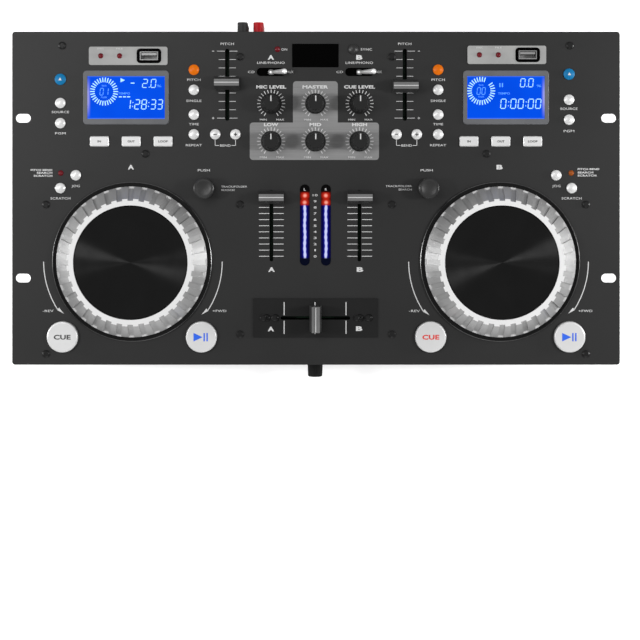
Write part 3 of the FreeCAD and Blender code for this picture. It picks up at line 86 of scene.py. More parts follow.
# Each socket strip: its side, the middle of its lamps and socket across, and its y.
STRIPS = ((-1, 149.1, 113.0), (1, 151.5, 113.8))
STRIP_SOCKET_X = 16.5
SOCKET_HALF = (7.16, 3.41)
SURROUND_HALF = (9.76, 5.86)
STRIP_LAMPS = (("DISC", -21.8), ("FILE", -6.8))

# The level meters, in panel millimetres: the lit columns' distance from the mixer's middle, the
# lamps' pitch and sway, and the heights where the colours change.
METER_X = 8.4
METER_WAVE = 17.0
METER_STEP = 4.6
METER_SWAY = 0.16
METER_BEAT = 0.14
METER_CORE = 0.95
METER_RED_Y = -5.6
METER_RED_LAMPS = (2.1, -3.4)
METER_LOW_Y = -47.4
METER_HIGH_Y = 4.8

# Knobs of the mixer, with the words over them and the width of the words.
KNOB_WORDS = {"mic_level_knob": ("MIC LEVEL", 23.8), "master_knob": ("MASTER", 20.4),
              "cue_level_knob": ("CUE LEVEL", 24.7), "bass_knob": ("LOW", 11.5),
              "mid_knob": ("MID", 9.4), "treble_knob": ("HIGH", 11.9)}
KNOBS_ON_GREY = ("master_knob", "bass_knob", "mid_knob", "treble_knob")
FADERS = ("pitch_fader_a", "pitch_fader_b", "channel_fader_a", "channel_fader_b", "crossfader")

# ---- Camera ------------------------------------------------------------------------------------
# Above the panel, CAMERA_FOOT from its middle, looking straight down. In a 640 pixel frame the
# panel's middle lands on PANEL_PIXEL, and one millimetre of the panel spans PIXELS_PER_MM.
FRAME_PIXELS = 640
PANEL_PIXEL = (316.0, 198.2)
PIXELS_PER_MM = 1.2591
CAMERA_FOOT = (-20.0, 20.0)
CAMERA_DISTANCE = 1400.0
SENSOR = 36.0
CLIP = (0.01, 20)


def show(thing):
    bpy.context.scene.collection.objects.link(thing)


def make_camera():
    data = bpy.data.cameras.new("camera")
    data.sensor_width = SENSOR
    data.lens = SENSOR * CAMERA_DISTANCE * PIXELS_PER_MM / FRAME_PIXELS
    data.shift_x = 0.5 - (PANEL_PIXEL[0] + CAMERA_FOOT[0] * PIXELS_PER_MM) / FRAME_PIXELS
    data.shift_y = (PANEL_PIXEL[1] - CAMERA_FOOT[1] * PIXELS_PER_MM) / FRAME_PIXELS - 0.5
    data.clip_start, data.clip_end = CLIP
    camera = bpy.data.objects.new("camera", data)
    camera.location = (CAMERA_FOOT[0] * MM, CAMERA_FOOT[1] * MM, (PANEL_TOP + CAMERA_DISTANCE) * MM)
    show(camera)
    bpy.context.scene.camera = camera


# ---- Materials ---------------------------------------------------------------------------------
def linear(value):
    return value / 12.92 if value <= 0.04045 else ((value + 0.055) / 1.055) ** 2.4


def shade(*rgb):
    """A linear colour from 0-255 display values; one value means grey."""
    if len(rgb) == 1:
        rgb = rgb * 3
    return tuple(linear(v / 255) for v in rgb) + (1.0,)


class Nodes:
    """A short way to add shader nodes and links."""

    def __init__(self, material):
        material.use_nodes = True
        self.tree = material.node_tree
        self.shader = self.tree.nodes["Principled BSDF"]
        self.coords = self.add("ShaderNodeTexCoord").outputs["Object"]

    def add(self, kind, **settings):
        node = self.tree.nodes.new(kind)
        for key, value in settings.items():
            setattr(node, key, value)
        return node

    def link(self, output, target):
        self.tree.links.new(output, target)

    def feed(self, target, value):
        if isinstance(value, bpy.types.NodeSocket):
            self.link(value, target)
        else:
            target.default_value = value

    def math(self, operation, a, b=0.0, c=0.0):
        node = self.add("ShaderNodeMath", operation=operation)
        for socket, value in zip(node.inputs, (a, b, c)):
            self.feed(socket, value)
        return node.outputs[0]

    def noise(self, scale, detail=2.0, stretch=(1, 1, 1)):
        mapping = self.add("ShaderNodeMapping")
        mapping.inputs["Scale"].default_value = stretch
        self.link(self.coords, mapping.inputs["Vector"])
        node = self.add("ShaderNodeTexNoise")
        node.inputs["Scale"].default_value = scale
        node.inputs["Detail"].default_value = detail
        self.link(mapping.outputs[0], node.inputs["Vector"])
        return node.outputs["Fac"]

    def spread(self, value, low, high, start=0.3, stop=0.7):
        node = self.add("ShaderNodeMapRange")
        self.feed(node.inputs["Value"], value)
        for name, number in (("From Min", start), ("From Max", stop), ("To Min", low), ("To Max", high)):
            node.inputs[name].default_value = number
        return node.outputs[0]

    def mix(self, factor, a, b):
        node = self.add("ShaderNodeMix", data_type="RGBA")
        self.feed(node.inputs[0], factor)
        self.feed(node.inputs[6], a)
        self.feed(node.inputs[7], b)
        return node.outputs[2]

    def axis(self, name):
        split = self.add("ShaderNodeSeparateXYZ")
        self.link(self.coords, split.inputs[0])
        return split.outputs[name]

    def bump(self, height, strength, depth):
        node = self.add("ShaderNodeBump")
        node.inputs["Strength"].default_value = strength
        node.inputs["Distance"].default_value = depth
        self.link(height, node.inputs["Height"])
        self.link(node.outputs[0], self.shader.inputs["Normal"])


def new_material(name):
    """A new material, with its nodes and its shader."""
    material = bpy.data.materials.new(name)
    nodes = Nodes(material)
    return material, nodes, nodes.shader


def back_light(nodes, colour, base, rough, specular):
    """Light of this colour behind a smooth window."""
    inputs = nodes.shader.inputs
    nodes.link(colour, inputs["Emission Color"])
    inputs["Emission Strength"].default_value = 1.0
    inputs["Base Color"].default_value = base
    inputs["Roughness"].default_value = rough
    inputs["Specular IOR Level"].default_value = specular


def dim(colour, factor):
    return tuple(channel * factor for channel in colour[:3]) + (1.0,)


def finish(name, colour, rough, metal=0.0, specular=0.5, mottle=0.08, blotch=60.0, grain=2500.0,
           grain_depth=0.01):
    """A moulded, painted or plated surface: slight colour mottle, uneven gloss and a fine grain.

    blotch and grain are noise scales per metre; grain_depth is in millimetres.
    """
    material, nodes, shader = new_material(name)
    cloud = nodes.noise(blotch, 3.0)
    fine = nodes.noise(grain)
    base = nodes.mix(nodes.spread(cloud, 0.0, 1.0), dim(colour, 1 - mottle), dim(colour, 1 + mottle))
    nodes.link(base, shader.inputs["Base Color"])
    nodes.link(nodes.spread(cloud, rough * 0.9, min(1.0, rough * 1.1)), shader.inputs["Roughness"])
    shader.inputs["Metallic"].default_value = metal
    shader.inputs["Specular IOR Level"].default_value = specular
    nodes.bump(fine, 0.5, grain_depth * MM)
    return material


def glow(name, colour, strength, base=None):
    """A lit lens: its own colour glows from a glossy plastic body."""
    material = finish(name, base or dim(colour, 0.5), 0.3, specular=0.15)
    shader = material.node_tree.nodes["Principled BSDF"]
    shader.inputs["Emission Color"].default_value = colour
    shader.inputs["Emission Strength"].default_value = strength
    return material


QUARTER_TURN = 0.25


def disc_metal():
    """Black turned aluminium: fine concentric lines that pull the light into a bow tie."""
    material = finish("jog_disc_black", shade(28), 0.23, metal=1.0, mottle=0.05, grain_depth=0.0)
    nodes = Nodes(material)
    nodes.shader.inputs["Anisotropic"].default_value = 1.0
    nodes.shader.inputs["Anisotropic Rotation"].default_value = QUARTER_TURN
    tangent = nodes.add("ShaderNodeTangent", direction_type="RADIAL", axis="Z")
    nodes.link(tangent.outputs[0], nodes.shader.inputs["Tangent"])
    return material


def meter_window():
    """A dark window over a column of lamps: two red above, blue below, brightest down the middle."""
    material, nodes, _ = new_material("meter_window")
    x = nodes.math("DIVIDE", nodes.axis("X"), MM)
    y = nodes.math("DIVIDE", nodes.axis("Y"), MM)
    wave = nodes.math("SINE", nodes.math("MULTIPLY", y, 2 * math.pi / METER_WAVE))
    beat = nodes.math("SINE", nodes.math("MULTIPLY", y, 2 * math.pi / METER_STEP))
    from_middle = nodes.math("ABSOLUTE", nodes.math("SUBTRACT", x, MIXER_X))
    off = nodes.math("ABSOLUTE", nodes.math("ADD", nodes.math("SUBTRACT", from_middle, METER_X),
                                            nodes.math("MULTIPLY", wave, METER_SWAY)))
    width = nodes.math("ADD", nodes.math("MULTIPLY", beat, METER_BEAT), METER_CORE)
    core = nodes.spread(nodes.math("SUBTRACT", width, off), 0.0, 1.0, -0.3, 0.3)
    near = nodes.spread(off, 1.0, 0.0, 1.0, 2.6)
    glass = nodes.mix(near, shade(0, 0, 62), shade(8, 14, 150))
    low = nodes.spread(y, 1.0, 0.0, METER_LOW_Y - 0.6, METER_LOW_Y + 0.6)
    blue = nodes.mix(core, glass, shade(206, 212, 255))
    blue = nodes.mix(low, blue, shade(0, 4, 26))
    spots = shade(90, 8, 4)
    for lamp in METER_RED_LAMPS:
        rise = nodes.math("SUBTRACT", y, lamp)
        r = nodes.math("SQRT", nodes.math("ADD", nodes.math("MULTIPLY", off, off),
                                          nodes.math("MULTIPLY", rise, rise)))
        spots = nodes.mix(nodes.spread(r, 1.0, 0.0, 1.6, 4.0), spots, shade(200, 40, 20))
        spots = nodes.mix(nodes.spread(r, 1.0, 0.0, 0.5, 1.9), spots, shade(255, 168, 150))
    below = nodes.spread(y, 1.0, 0.0, METER_RED_Y - 0.5, METER_RED_Y + 0.5)
    lit = nodes.mix(below, spots, blue)
    top = nodes.spread(y, 0.0, 1.0, METER_HIGH_Y - 0.6, METER_HIGH_Y + 0.6)
    back_light(nodes, nodes.mix(top, lit, shade(2)), shade(4), 0.2, 0.02)
    return material


def lcd_blue():
    """A back-lit blue display, paler along its outer edge and thinly at the rim."""
    material, nodes, _ = new_material("lcd_blue")
    x = nodes.math("ABSOLUTE", nodes.math("DIVIDE", nodes.axis("X"), MM))
    y = nodes.math("ABSOLUTE", nodes.math("SUBTRACT", nodes.math("DIVIDE", nodes.axis("Y"), MM), LCD_Y))
    cloud = nodes.noise(28.0, 2.0)
    colour = nodes.mix(nodes.spread(cloud, 0.0, 1.0), shade(0, 76, 230), shade(0, 84, 242))
    outer = nodes.spread(x, 0.0, 0.75, LCD_X + LCD_HALF[0] - 2.6, LCD_X + LCD_HALF[0])
    middle = nodes.spread(y, 1.0, 0.0, 4.0, LCD_HALF[1])
    colour = nodes.mix(nodes.math("MULTIPLY", outer, middle), colour, shade(206, 200, 240))
    rim = nodes.spread(y, 0.0, 0.55, LCD_HALF[1] - 1.0, LCD_HALF[1])
    colour = nodes.mix(rim, colour, shade(120, 160, 250))
    back_light(nodes, colour, shade(2, 6, 16), 0.25, 0.01)
    return material


def grey_field():
    """The printed grey area round the mixer knobs, faintly brushed from side to side."""
    material, nodes, shader = new_material("print_grey")
    streak = nodes.noise(900.0, 2.0, (0.02, 1, 1))
    colour = nodes.mix(nodes.spread(streak, 0.0, 1.0), shade(122), shade(130))
    nodes.link(colour, shader.inputs["Base Color"])
    shader.inputs["Roughness"].default_value = 0.6
    shader.inputs["Specular IOR Level"].default_value = 0.15
    return material


# ---- Dressing the CAD nodes --------------------------------------------------------------------
def dress(node, material, pick=None, others=()):
    """Gives a CAD node its materials; pick(centre, normal) in millimetres returns a slot index."""
    piece = NODES[node]
    mesh = piece.data
    mesh.materials.clear()
    for each in (material, *others):
        mesh.materials.append(each)
    for face in mesh.polygons:
        face.material_index = pick(face.center / MM, face.normal) if pick else 0


# ---- Builders for added pieces -----------------------------------------------------------------
def add_piece(name, mesh, material, body):
    piece = bpy.data.objects.new(name, mesh)
    show(piece)
    mesh.materials.clear()
    mesh.materials.append(material)
    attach(piece, body)
    return piece


UPRIGHT = Matrix.Rotation(math.radians(90), 4, "X")
PRINT_THICKNESS = 0.06
WELD = 0.0005
# The share of the lettering's size that its capitals take, its spacing, heights of capitals, and
# how far bold strokes grow, as shares of the size.
CAP_SHARE = 0.70
LETTER_SPACING = 1.04
LABEL = 1.8
SMALL = 1.45
TITLE = 2.35
LETTER = 3.3
BOLD = 0.05
TITLE_BOLD = 0.045


def level(z):
    """A face that looks up at height z, in metres."""
    return Matrix.Translation((0, 0, z))


def facing(y):
    """A face that looks to the front at y, in metres."""
    return Matrix.Translation((0, y, 0)) @ UPRIGHT


class Print:
    """Thin raised ink on a flat face. Local X and Y lie in the face, in millimetres."""

    def __init__(self, place, lift=0.0, thickness=PRINT_THICKNESS):
        self.place = place
        self.low = lift
        self.high = lift + thickness
        self.mesh = bmesh.new()

    def polygon(self, points):
        """A closed prism on an outline given anticlockwise."""
        low = [self.mesh.verts.new((x, y, self.low)) for x, y in points]
        high = [self.mesh.verts.new((x, y, self.high)) for x, y in points]
        self.mesh.faces.new(high)
        self.mesh.faces.new(low[::-1])
        count = len(points)
        for index in range(count):
            after = (index + 1) % count
            self.mesh.faces.new((low[index], low[after], high[after], high[index]))

    def bar(self, x, y, length, width, angle=0.0):
        turn = Matrix.Rotation(math.radians(angle), 2)
        corners = [(-1, -1), (1, -1), (1, 1), (-1, 1)]
        points = [turn @ Vector((a * length / 2, b * width / 2)) for a, b in corners]
        self.polygon([(x + p.x, y + p.y) for p in points])

    def dot(self, x, y, r):
        self.polygon(ring_of(x, y, r, 8))

    def band(self, x, y, inner, outer, start, stop, steps=24):
        angles = turn_steps(start, stop, steps)
        rim = [(x + outer * math.cos(a), y + outer * math.sin(a)) for a in angles]
        back = [(x + inner * math.cos(a), y + inner * math.sin(a)) for a in reversed(angles)]
        self.polygon(rim + back)

    def text(self, words, x, y, width, height=LABEL, align="CENTER", bold=0.005):
        """Words drawn out to width, with y at the middle of capitals of this height."""
        data = bpy.data.curves.new("words", "FONT")
        data.body = words
        data.size = height / CAP_SHARE
        data.align_y = "TOP_BASELINE"
        data.offset = bold * data.size
        data.extrude = (self.high - self.low) / 2
        data.resolution_u = 3
        data.space_character = LETTER_SPACING
        holder = bpy.data.objects.new("words", data)
        mesh = bpy.data.meshes.new_from_object(holder)
        reach = [vertex.co.x for vertex in mesh.vertices]
        low, high = min(reach), max(reach)
        anchor = {"LEFT": low, "CENTER": (low + high) / 2, "RIGHT": high}[align]
        mesh.transform(Matrix.Translation((x, y - height / 2, (self.low + self.high) / 2))
                       @ Matrix.Diagonal((width / (high - low), 1, 1, 1))
                       @ Matrix.Translation((-anchor, 0, 0)))
        self.mesh.from_mesh(mesh)
        bpy.data.objects.remove(holder)
        bpy.data.meshes.remove(mesh)

    def done(self, name, material, body="console"):
        bmesh.ops.remove_doubles(self.mesh, verts=self.mesh.verts, dist=WELD)
        bmesh.ops.recalc_face_normals(self.mesh, faces=self.mesh.faces)
        mesh = bpy.data.meshes.new(name)
        self.mesh.to_mesh(mesh)
        self.mesh.free()
        mesh.transform(self.place @ Matrix.Scale(MM, 4))
        return add_piece(name, mesh, material, body)


def turn_steps(start, stop, steps):
    return [math.radians(start + (stop - start) * index / steps) for index in range(steps + 1)]


def ring_of(x, y, r, steps=32):
    """Points round a circle, anticlockwise."""
    return [(x + r * math.cos(a), y + r * math.sin(a)) for a in turn_steps(0, 360, steps)[:-1]]


# ---- Printing on the top panel -----------------------------------------------------------------
# Places and widths are in panel millimetres, and a word's y is the middle of its capitals.
# The scale round a knob: where its marks start and end, and the words at both ends of it as
# (words, x, width).
KNOB_RING = (8.5, 11.2)
KNOB_MARKS = 21
KNOB_SWEEP = 300
KNOB_MARK_WIDTH = 0.6
KNOB_ENDS = (("MIN", -6.3, 5.4), ("MAX", 7.2, 6.2))
KNOB_ENDS_DROP = 12.7
KNOB_WORDS_RISE = 13.3
# The scales beside the faders: how far the lines start and reach from the slot's middle.
PITCH_SCALE_Y = 90.2
PITCH_STEP = 6.65
PITCH_LINES = 4
PITCH_START = 1.8
PITCH_REACH = 6.8
PITCH_END_REACH = 8.1
PITCH_LINE_WIDTH = 0.36
PITCH_SIGN_X = 11.2
CHANNEL_STEP = 4.85
CHANNEL_TOP = 2.4
CHANNEL_MARKS = 11
CHANNEL_MARK = (8.1, 0.5)
CHANNEL_MARK_X = 5.75
CHANNEL_FIGURES_X = -0.7
# Heights of the words; those of the button column are (words, y, width), the modes (words, width).
FADER_WORD_Y = 122.6
BEND_Y = 41.9
DECK_LETTER_Y = 24.7
PUSH_Y = 22.2
SEARCH_DROP = 2.7
ARROW_WORDS_Y = -89.5
MIXER_LETTER_Y = 111.9
INPUT_Y = 107.6
INPUT_SIDE_Y = 100.3
INPUT_SIDE_X = 15.6
CHANNEL_LETTER_Y = -56.6
LAMP_WORDS_Y = 118.2
COLUMN_WORDS = (("PITCH", 94.1, 10.6), ("SINGLE", 77.4, 12.0), ("TIME", 58.8, 7.9),
                ("REPEAT", 42.1, 12.8))
MODE_WORDS = (("PITCH BEND", 17.2), ("SEARCH", 12.4), ("SCRATCH", 14.8))
BEND_PITCH = 8.0
LOOP_PITCH = 25.3
DECK_LETTER_X = {"a": -147.0, "b": 145.8}
CHANNEL_X = {"a": -35.8, "b": 34.4}
# The words by the search knob and the mode lamp stand apart on each deck: x, y of each row, and
# the side on which they line up.
FOLDER = {"a": (-75.3, 9.2, "LEFT"), "b": (76.0, 9.6, "RIGHT")}
MODES = {"a": (-209.4, (22.4, 20.2, 17.8), "RIGHT"), "b": (207.8, (23.1, 20.4, 18.0), "LEFT")}
REVERSE_X = {"a": -66.8, "b": -67.8}
FORWARD_X = {"a": 69.4, "b": 68.0}
# The arcs beside a jog wheel: radius, half width, where they end and where the arrow's tip lies.
ARC_R = 70.3
ARC_HALF = 0.35
ARC_END = 33.0
TIP_R = 68.1
TIP_ANGLE = 37.4


def knob_scale(ink, x, y):
    """Marks round a knob, from the lower left over the top to the lower right."""
    inner, outer = KNOB_RING
    r = (inner + outer) / 2
    for index in range(KNOB_MARKS):
        turn = 90 + KNOB_SWEEP / 2 - KNOB_SWEEP * index / (KNOB_MARKS - 1)
        angle = math.radians(turn)
        ink.bar(x + r * math.cos(angle), y + r * math.sin(angle), outer - inner, KNOB_MARK_WIDTH,
                turn)
    for words, aside, width in KNOB_ENDS:
        ink.text(words, x + aside, y - KNOB_ENDS_DROP, width, SMALL)


def pitch_scale(ink, x, y, out):
    """Nine pairs of lines; the ends are longer and carry minus and plus on the outer side."""
    ends = PITCH_LINES * PITCH_STEP
    for index in range(-PITCH_LINES, PITCH_LINES + 1):
        reach = PITCH_END_REACH if abs(index) == PITCH_LINES else PITCH_REACH
        for side in (-1, 1):
            ink.bar(x + side * (PITCH_START + reach) / 2, y - index * PITCH_STEP,
                    reach - PITCH_START, PITCH_LINE_WIDTH)
    sign_x = x + out * PITCH_SIGN_X
    ink.bar(sign_x, y + ends, 1.6, 0.45)
    ink.bar(sign_x, y - ends, 1.7, 0.5)
    ink.bar(sign_x, y - ends, 0.5, 1.7)


def channel_scale(ink, x):
    for index in range(CHANNEL_MARKS):
        for side in (-1, 1):
            ink.bar(x + side * CHANNEL_MARK_X, CHANNEL_TOP - CHANNEL_STEP * index, *CHANNEL_MARK)


def jog_arrows(ink, x, y, deck_side):
    """Arcs beside the wheel that end in arrowheads; the one towards the mixer lies further out."""
    for side in (-1, 1):
        out = 0.0 if side == deck_side else (1.2 if side > 0 else 2.1)
        r, tip_r = ARC_R + out, TIP_R + out
        start, stop = (-ARC_END, 0) if side > 0 else (180, 180 + ARC_END)
        ink.band(x, y, r - ARC_HALF, r + ARC_HALF, start, stop)
        angle = math.radians(TIP_ANGLE)
        tip = Vector((x + side * tip_r * math.cos(angle), y - tip_r * math.sin(angle)))
        angle = math.radians(ARC_END)
        back = Vector((x + side * r * math.cos(angle), y - r * math.sin(angle)))
        along = (tip - back).normalized()
        outward = side * Vector((-along.y, along.x))
        ink.polygon(anticlockwise([tip, back + outward * 0.4 - along * 0.3,
                                   back - outward * 2.0 - along * 0.2]))


def anticlockwise(points):
    area = sum(a[0] * b[1] - b[0] * a[1] for a, b in zip(points, points[1:] + points[:1]))
    return [tuple(p) for p in (points if area > 0 else points[::-1])]


def deck_print(ink, deck, side):
    column = centre_of("mode_buttons_" + deck).x
    for words, y, width in COLUMN_WORDS:
        ink.text(words, column, y, width)
    fader_x = centre_of("pitch_fader_" + deck).x
    ink.text("PITCH", fader_x, FADER_WORD_Y, 10.6)
    pitch_scale(ink, fader_x, PITCH_SCALE_Y, side)
    bend = centre_of("bend_buttons_" + deck).x
    ink.text("BEND", bend, BEND_Y, 8.4)
    for step in (-1, 1):
        ink.bar(bend + step * 8.1, 44.0, 0.45, 4.6)
        ink.bar(bend + step * 6.5, BEND_Y, 3.2, 0.45)
    media = centre_of("source_buttons_" + deck)
    low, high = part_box("source_buttons_" + deck)
    ink.text("SOURCE", media.x, high.y / MM - 12.2, 13.8)
    ink.text("PGM", media.x, low.y / MM - 3.0 - (0.9 if side > 0 else 0), 8.4)
    ink.text(deck.upper(), DECK_LETTER_X[deck], DECK_LETTER_Y, 4.9, LETTER, bold=BOLD)
    ink.text("SCRATCH", side * 203.0, -0.1, 15.8)
    ink.text("JOG", side * 190.9, 9.7, 6.6)
    text_x, rows, align = MODES[deck]
    for (words, width), y in zip(MODE_WORDS, rows):
        ink.text(words, text_x, y, width, SMALL, align, 0.03)
    ink.text("PUSH", centre_of("encoder_knob_" + deck).x - 0.6, PUSH_Y, 9.6)
    text_x, y, align = FOLDER[deck]
    ink.text("TRACK/FOLDER", text_x, y, 20.6, SMALL, align)
    ink.text("SEARCH", text_x, y - SEARCH_DROP, 10.4, SMALL, align)
    jog = JOG[deck]
    jog_arrows(ink, jog.x, jog.y, side)
    ink.text("-REV", jog.x + REVERSE_X[deck], ARROW_WORDS_Y, 8.6)
    ink.text("+FWD", jog.x + FORWARD_X[deck], ARROW_WORDS_Y, 11.0)


def mixer_print(ink):
    for deck in SIDES:
        x = CHANNEL_X[deck]
        ink.text(deck.upper(), x, MIXER_LETTER_Y, 5.0, LETTER, bold=BOLD)
        ink.text("LINE/PHONO", x, INPUT_Y, 21.8)
        ink.text("CD", x - INPUT_SIDE_X, INPUT_SIDE_Y, 5.2, bold=0.0)
        ink.text("AUX", x + INPUT_SIDE_X, INPUT_SIDE_Y, 4.6)
        ink.text(deck.upper(), x + 0.5, CHANNEL_LETTER_Y, 5.2, LETTER, bold=BOLD)
        channel_scale(ink, x + 0.3)
    ink.text("SYNC", 40.0, LAMP_WORDS_Y, 9.0)
    ink.text("ON", -25.2, LAMP_WORDS_Y, 4.6)
    for name, (words, width) in KNOB_WORDS.items():
        place = centre_of(name)
        ink.text(words, place.x, place.y + KNOB_WORDS_RISE, width, TITLE, bold=TITLE_BOLD)
        knob_scale(ink, place.x, place.y)
    for index in range(CHANNEL_MARKS):
        words = str(CHANNEL_MARKS - 1 - index)
        width = {"10": 3.9, "1": 1.1}.get(words, 2.3)
        ink.text(words, CHANNEL_FIGURES_X, CHANNEL_TOP - CHANNEL_STEP * index, width, 1.7,
                 bold=0.015)


def make_panel_print(white):
    ink = Print(level(PANEL_TOP * MM), 0.04)
    for deck, side in SIDES.items():
        deck_print(ink, deck, side)
    mixer_print(ink)
    ink.done("panel_print", white)
    ink = Print(level(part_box("display_windows")[1].z), 0.0, 0.04)
    for words, side in (("L", -1), ("R", 1)):
        ink.text(words, MIXER_X + side * METER_X, 7.0, 1.6, 1.75, bold=0.02)
    ink.done("meter_print", white)


def make_strip_print(white):
    ink = Print(level(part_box("indicator_leds")[1].z), -0.25)
    for side, strip_x, y in STRIPS:
        for words, x in STRIP_LAMPS:
            ink.text(words, side * strip_x + x, y + 5.6, 5.2, 1.1)
    ink.done("strip_print", white)


GREY_TOP, GREY_MIDDLE, GREY_LOW = 92.9, 60.1, 30.4
GREY_LEFT, GREY_RIGHT, GREY_INNER_LEFT, GREY_INNER_RIGHT = -52.6, 50.0, -18.3, 17.3
GREY_CORNER_R = 2.6
GREY_HALF_THICKNESS = 0.02
SHAFT_OPENING_R = 4.5


def make_grey_field():
    """One T-shaped area, cut out round each knob so that the ink stays clear of the shafts."""
    data = bpy.data.curves.new("grey_field", "CURVE")
    data.dimensions = "2D"
    data.fill_mode = "BOTH"
    data.extrude = GREY_HALF_THICKNESS * MM
    corners = ((GREY_RIGHT, GREY_LOW, 90), (GREY_RIGHT, GREY_MIDDLE, 90),
               (GREY_INNER_RIGHT, GREY_MIDDLE, 0), (GREY_INNER_RIGHT, GREY_TOP, 90),
               (GREY_INNER_LEFT, GREY_TOP, 90), (GREY_INNER_LEFT, GREY_MIDDLE, 0),
               (GREY_LEFT, GREY_MIDDLE, 90), (GREY_LEFT, GREY_LOW, 90))
    add_spline(data, corner_arcs(corners, GREY_CORNER_R))
    for name in KNOBS_ON_GREY:
        place = centre_of(name)
        add_spline(data, ring_of(place.x, place.y, SHAFT_OPENING_R))
    holder = bpy.data.objects.new("grey_field", data)
    mesh = bpy.data.meshes.new_from_object(holder)
    bpy.data.objects.remove(holder)
    mesh.transform(level((PANEL_TOP + GREY_HALF_THICKNESS) * MM))
    add_piece("grey_field", mesh, grey_field(), "console")


def add_spline(data, points):
    spline = data.splines.new("POLY")
    spline.points.add(len(points) - 1)
    for point, (x, y) in zip(spline.points, points):
        point.co = (x * MM, y * MM, 0, 1)
    spline.use_cyclic_u = True


def corner_arcs(corners, r):
    """An outline through corners (x, y, turn); a turn of 90 is rounded with r, 0 stays sharp."""
    points = []
    count = len(corners)
    steps = 6
    for index, (x, y, turn) in enumerate(corners):
        if not turn:
            points.append((x, y))
            continue
        here = Vector((x, y))
        before = (Vector(corners[index - 1][:2]) - here).normalized()
        after = (Vector(corners[(index + 1) % count][:2]) - here).normalized()
        middle = here + (before + after) * r
        for step in range(steps + 1):
            share = step / steps * math.pi / 2
            p = middle - after * r * math.cos(share) - before * r * math.sin(share)
            points.append((p.x, p.y))
    return points


CROSS_MARKS_X = (-25.3, -0.8, 23.8)
CROSS_MARKS_Y = (-87.6, -102.4)
CROSS_MARK = (0.7, 10.4)
CROSS_LETTERS = (("A", -35.8, -103.7), ("B", 34.2, -103.4))


def make_crossfader_print(white):
    ink = Print(level(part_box("crossfader_plate")[1].z))
    for x in CROSS_MARKS_X:
        for y in CROSS_MARKS_Y:
            ink.bar(x, y, *CROSS_MARK)
    for words, x, y in CROSS_LETTERS:
        ink.text(words, x, y, 5.0, LETTER, bold=BOLD)
    ink.done("crossfader_print", white)


# The front's letters, and its words as (words, x, the line's foot, width), in panel millimetres.
FRONT_LETTER_X = 130.3
FRONT_LETTER_Z = -9.8
FRONT_WORDS_Z = -35.2
FRONT_LINE_TOP = -36.8
FRONT_WORDS = (("MICROPHONE", -24.9, -46.5, 29.5), ("CUE", 0.0, -38.6, 9.1),
               ("HEADPHONE", 25.1, -46.5, 27.6))


def make_front_print(white):
    """Words over the sockets and the cue knob, each with a line down to the piece it names."""
    ink = Print(facing(FRONT_Y * MM))
    for deck, side in SIDES.items():
        ink.text(deck.upper(), side * FRONT_LETTER_X, FRONT_LETTER_Z, 4.8, LETTER, bold=BOLD)
    for words, x, low, width in FRONT_WORDS:
        ink.text(words, x, FRONT_WORDS_Z, width, 2.1, bold=TITLE_BOLD)
        ink.bar(x, (low + FRONT_LINE_TOP) / 2, 0.5, FRONT_LINE_TOP - low)
    low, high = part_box("phones_cue_knob")
    middle = (low.z + high.z) / 2 / MM
    for side, words in ((-1, "A"), (1, "B")):
        ink.text(words, side * 5.3, middle - 11.5, 2.6, bold=TITLE_BOLD)
        ink.bar(side * 4.5, middle - 7.9, 2.4, 0.5, 90 + side * 30)
    ink.done("front_print", white)


# ---- Screw heads -------------------------------------------------------------------------------
HEAD_R = 3.1
HEAD_HEIGHT = 1.7
HEAD_CROWN = 0.92
HEAD_DROP = 0.1
HEAD_RINGS = 14
HEAD_STEPS = 48
HEAD_TURN = 0.7
RECESS_ARM = 1.7
RECESS_HALF = 0.38
RECESS_MIDDLE = 1.1
RECESS_DEPTH = 0.25
RECESS_SLOPE = 1.0
# A head on the bare panel starts HEAD_LIFT above it. One that reaches ON_PLATE above it stands on
# a plate, and starts HEAD_SINK below its screw's head.
HEAD_LIFT = 0.02
HEAD_SINK = 0.28
ON_PLATE = 2.4
# What stands higher than CLEAR_RISE over the panel belongs to a head; a head is smaller than
# SCREW_REACH.
CLEAR_RISE = 0.3
SCREW_REACH = 7


def screw_places():
    """Each screw whose head stands on the top panel: x, y, the head's lowest and highest point."""
    mesh = NODES["screws_and_standoffs"].data
    tops = [v.co / MM for v in mesh.vertices if v.co.z / MM > PANEL_TOP + CLEAR_RISE]
    groups = []
    for p in tops:
        for group in groups:
            if abs(p.x - group[0].x) < SCREW_REACH and abs(p.y - group[0].y) < SCREW_REACH:
                group.append(p)
                break
        else:
            groups.append([p])
    return [(middle_of([p.x for p in group]), middle_of([p.y for p in group]),
             min(p.z for p in group), max(p.z for p in group)) for group in groups]


def middle_of(values):
    return (min(values) + max(values)) / 2


def head_height(dx, dy, r):
    """How high a rounded head with a cross recess stands at dx, dy from its middle."""
    dome = HEAD_HEIGHT * math.sqrt(max(0.0, 1 - (r / HEAD_R) ** 2 * HEAD_CROWN)) - HEAD_DROP
    in_arm = min(abs(dx), abs(dy)) < RECESS_HALF and r < RECESS_ARM
    return dome - (RECESS_SLOPE * (1 - r / RECESS_ARM) + RECESS_DEPTH if in_arm else 0.0)


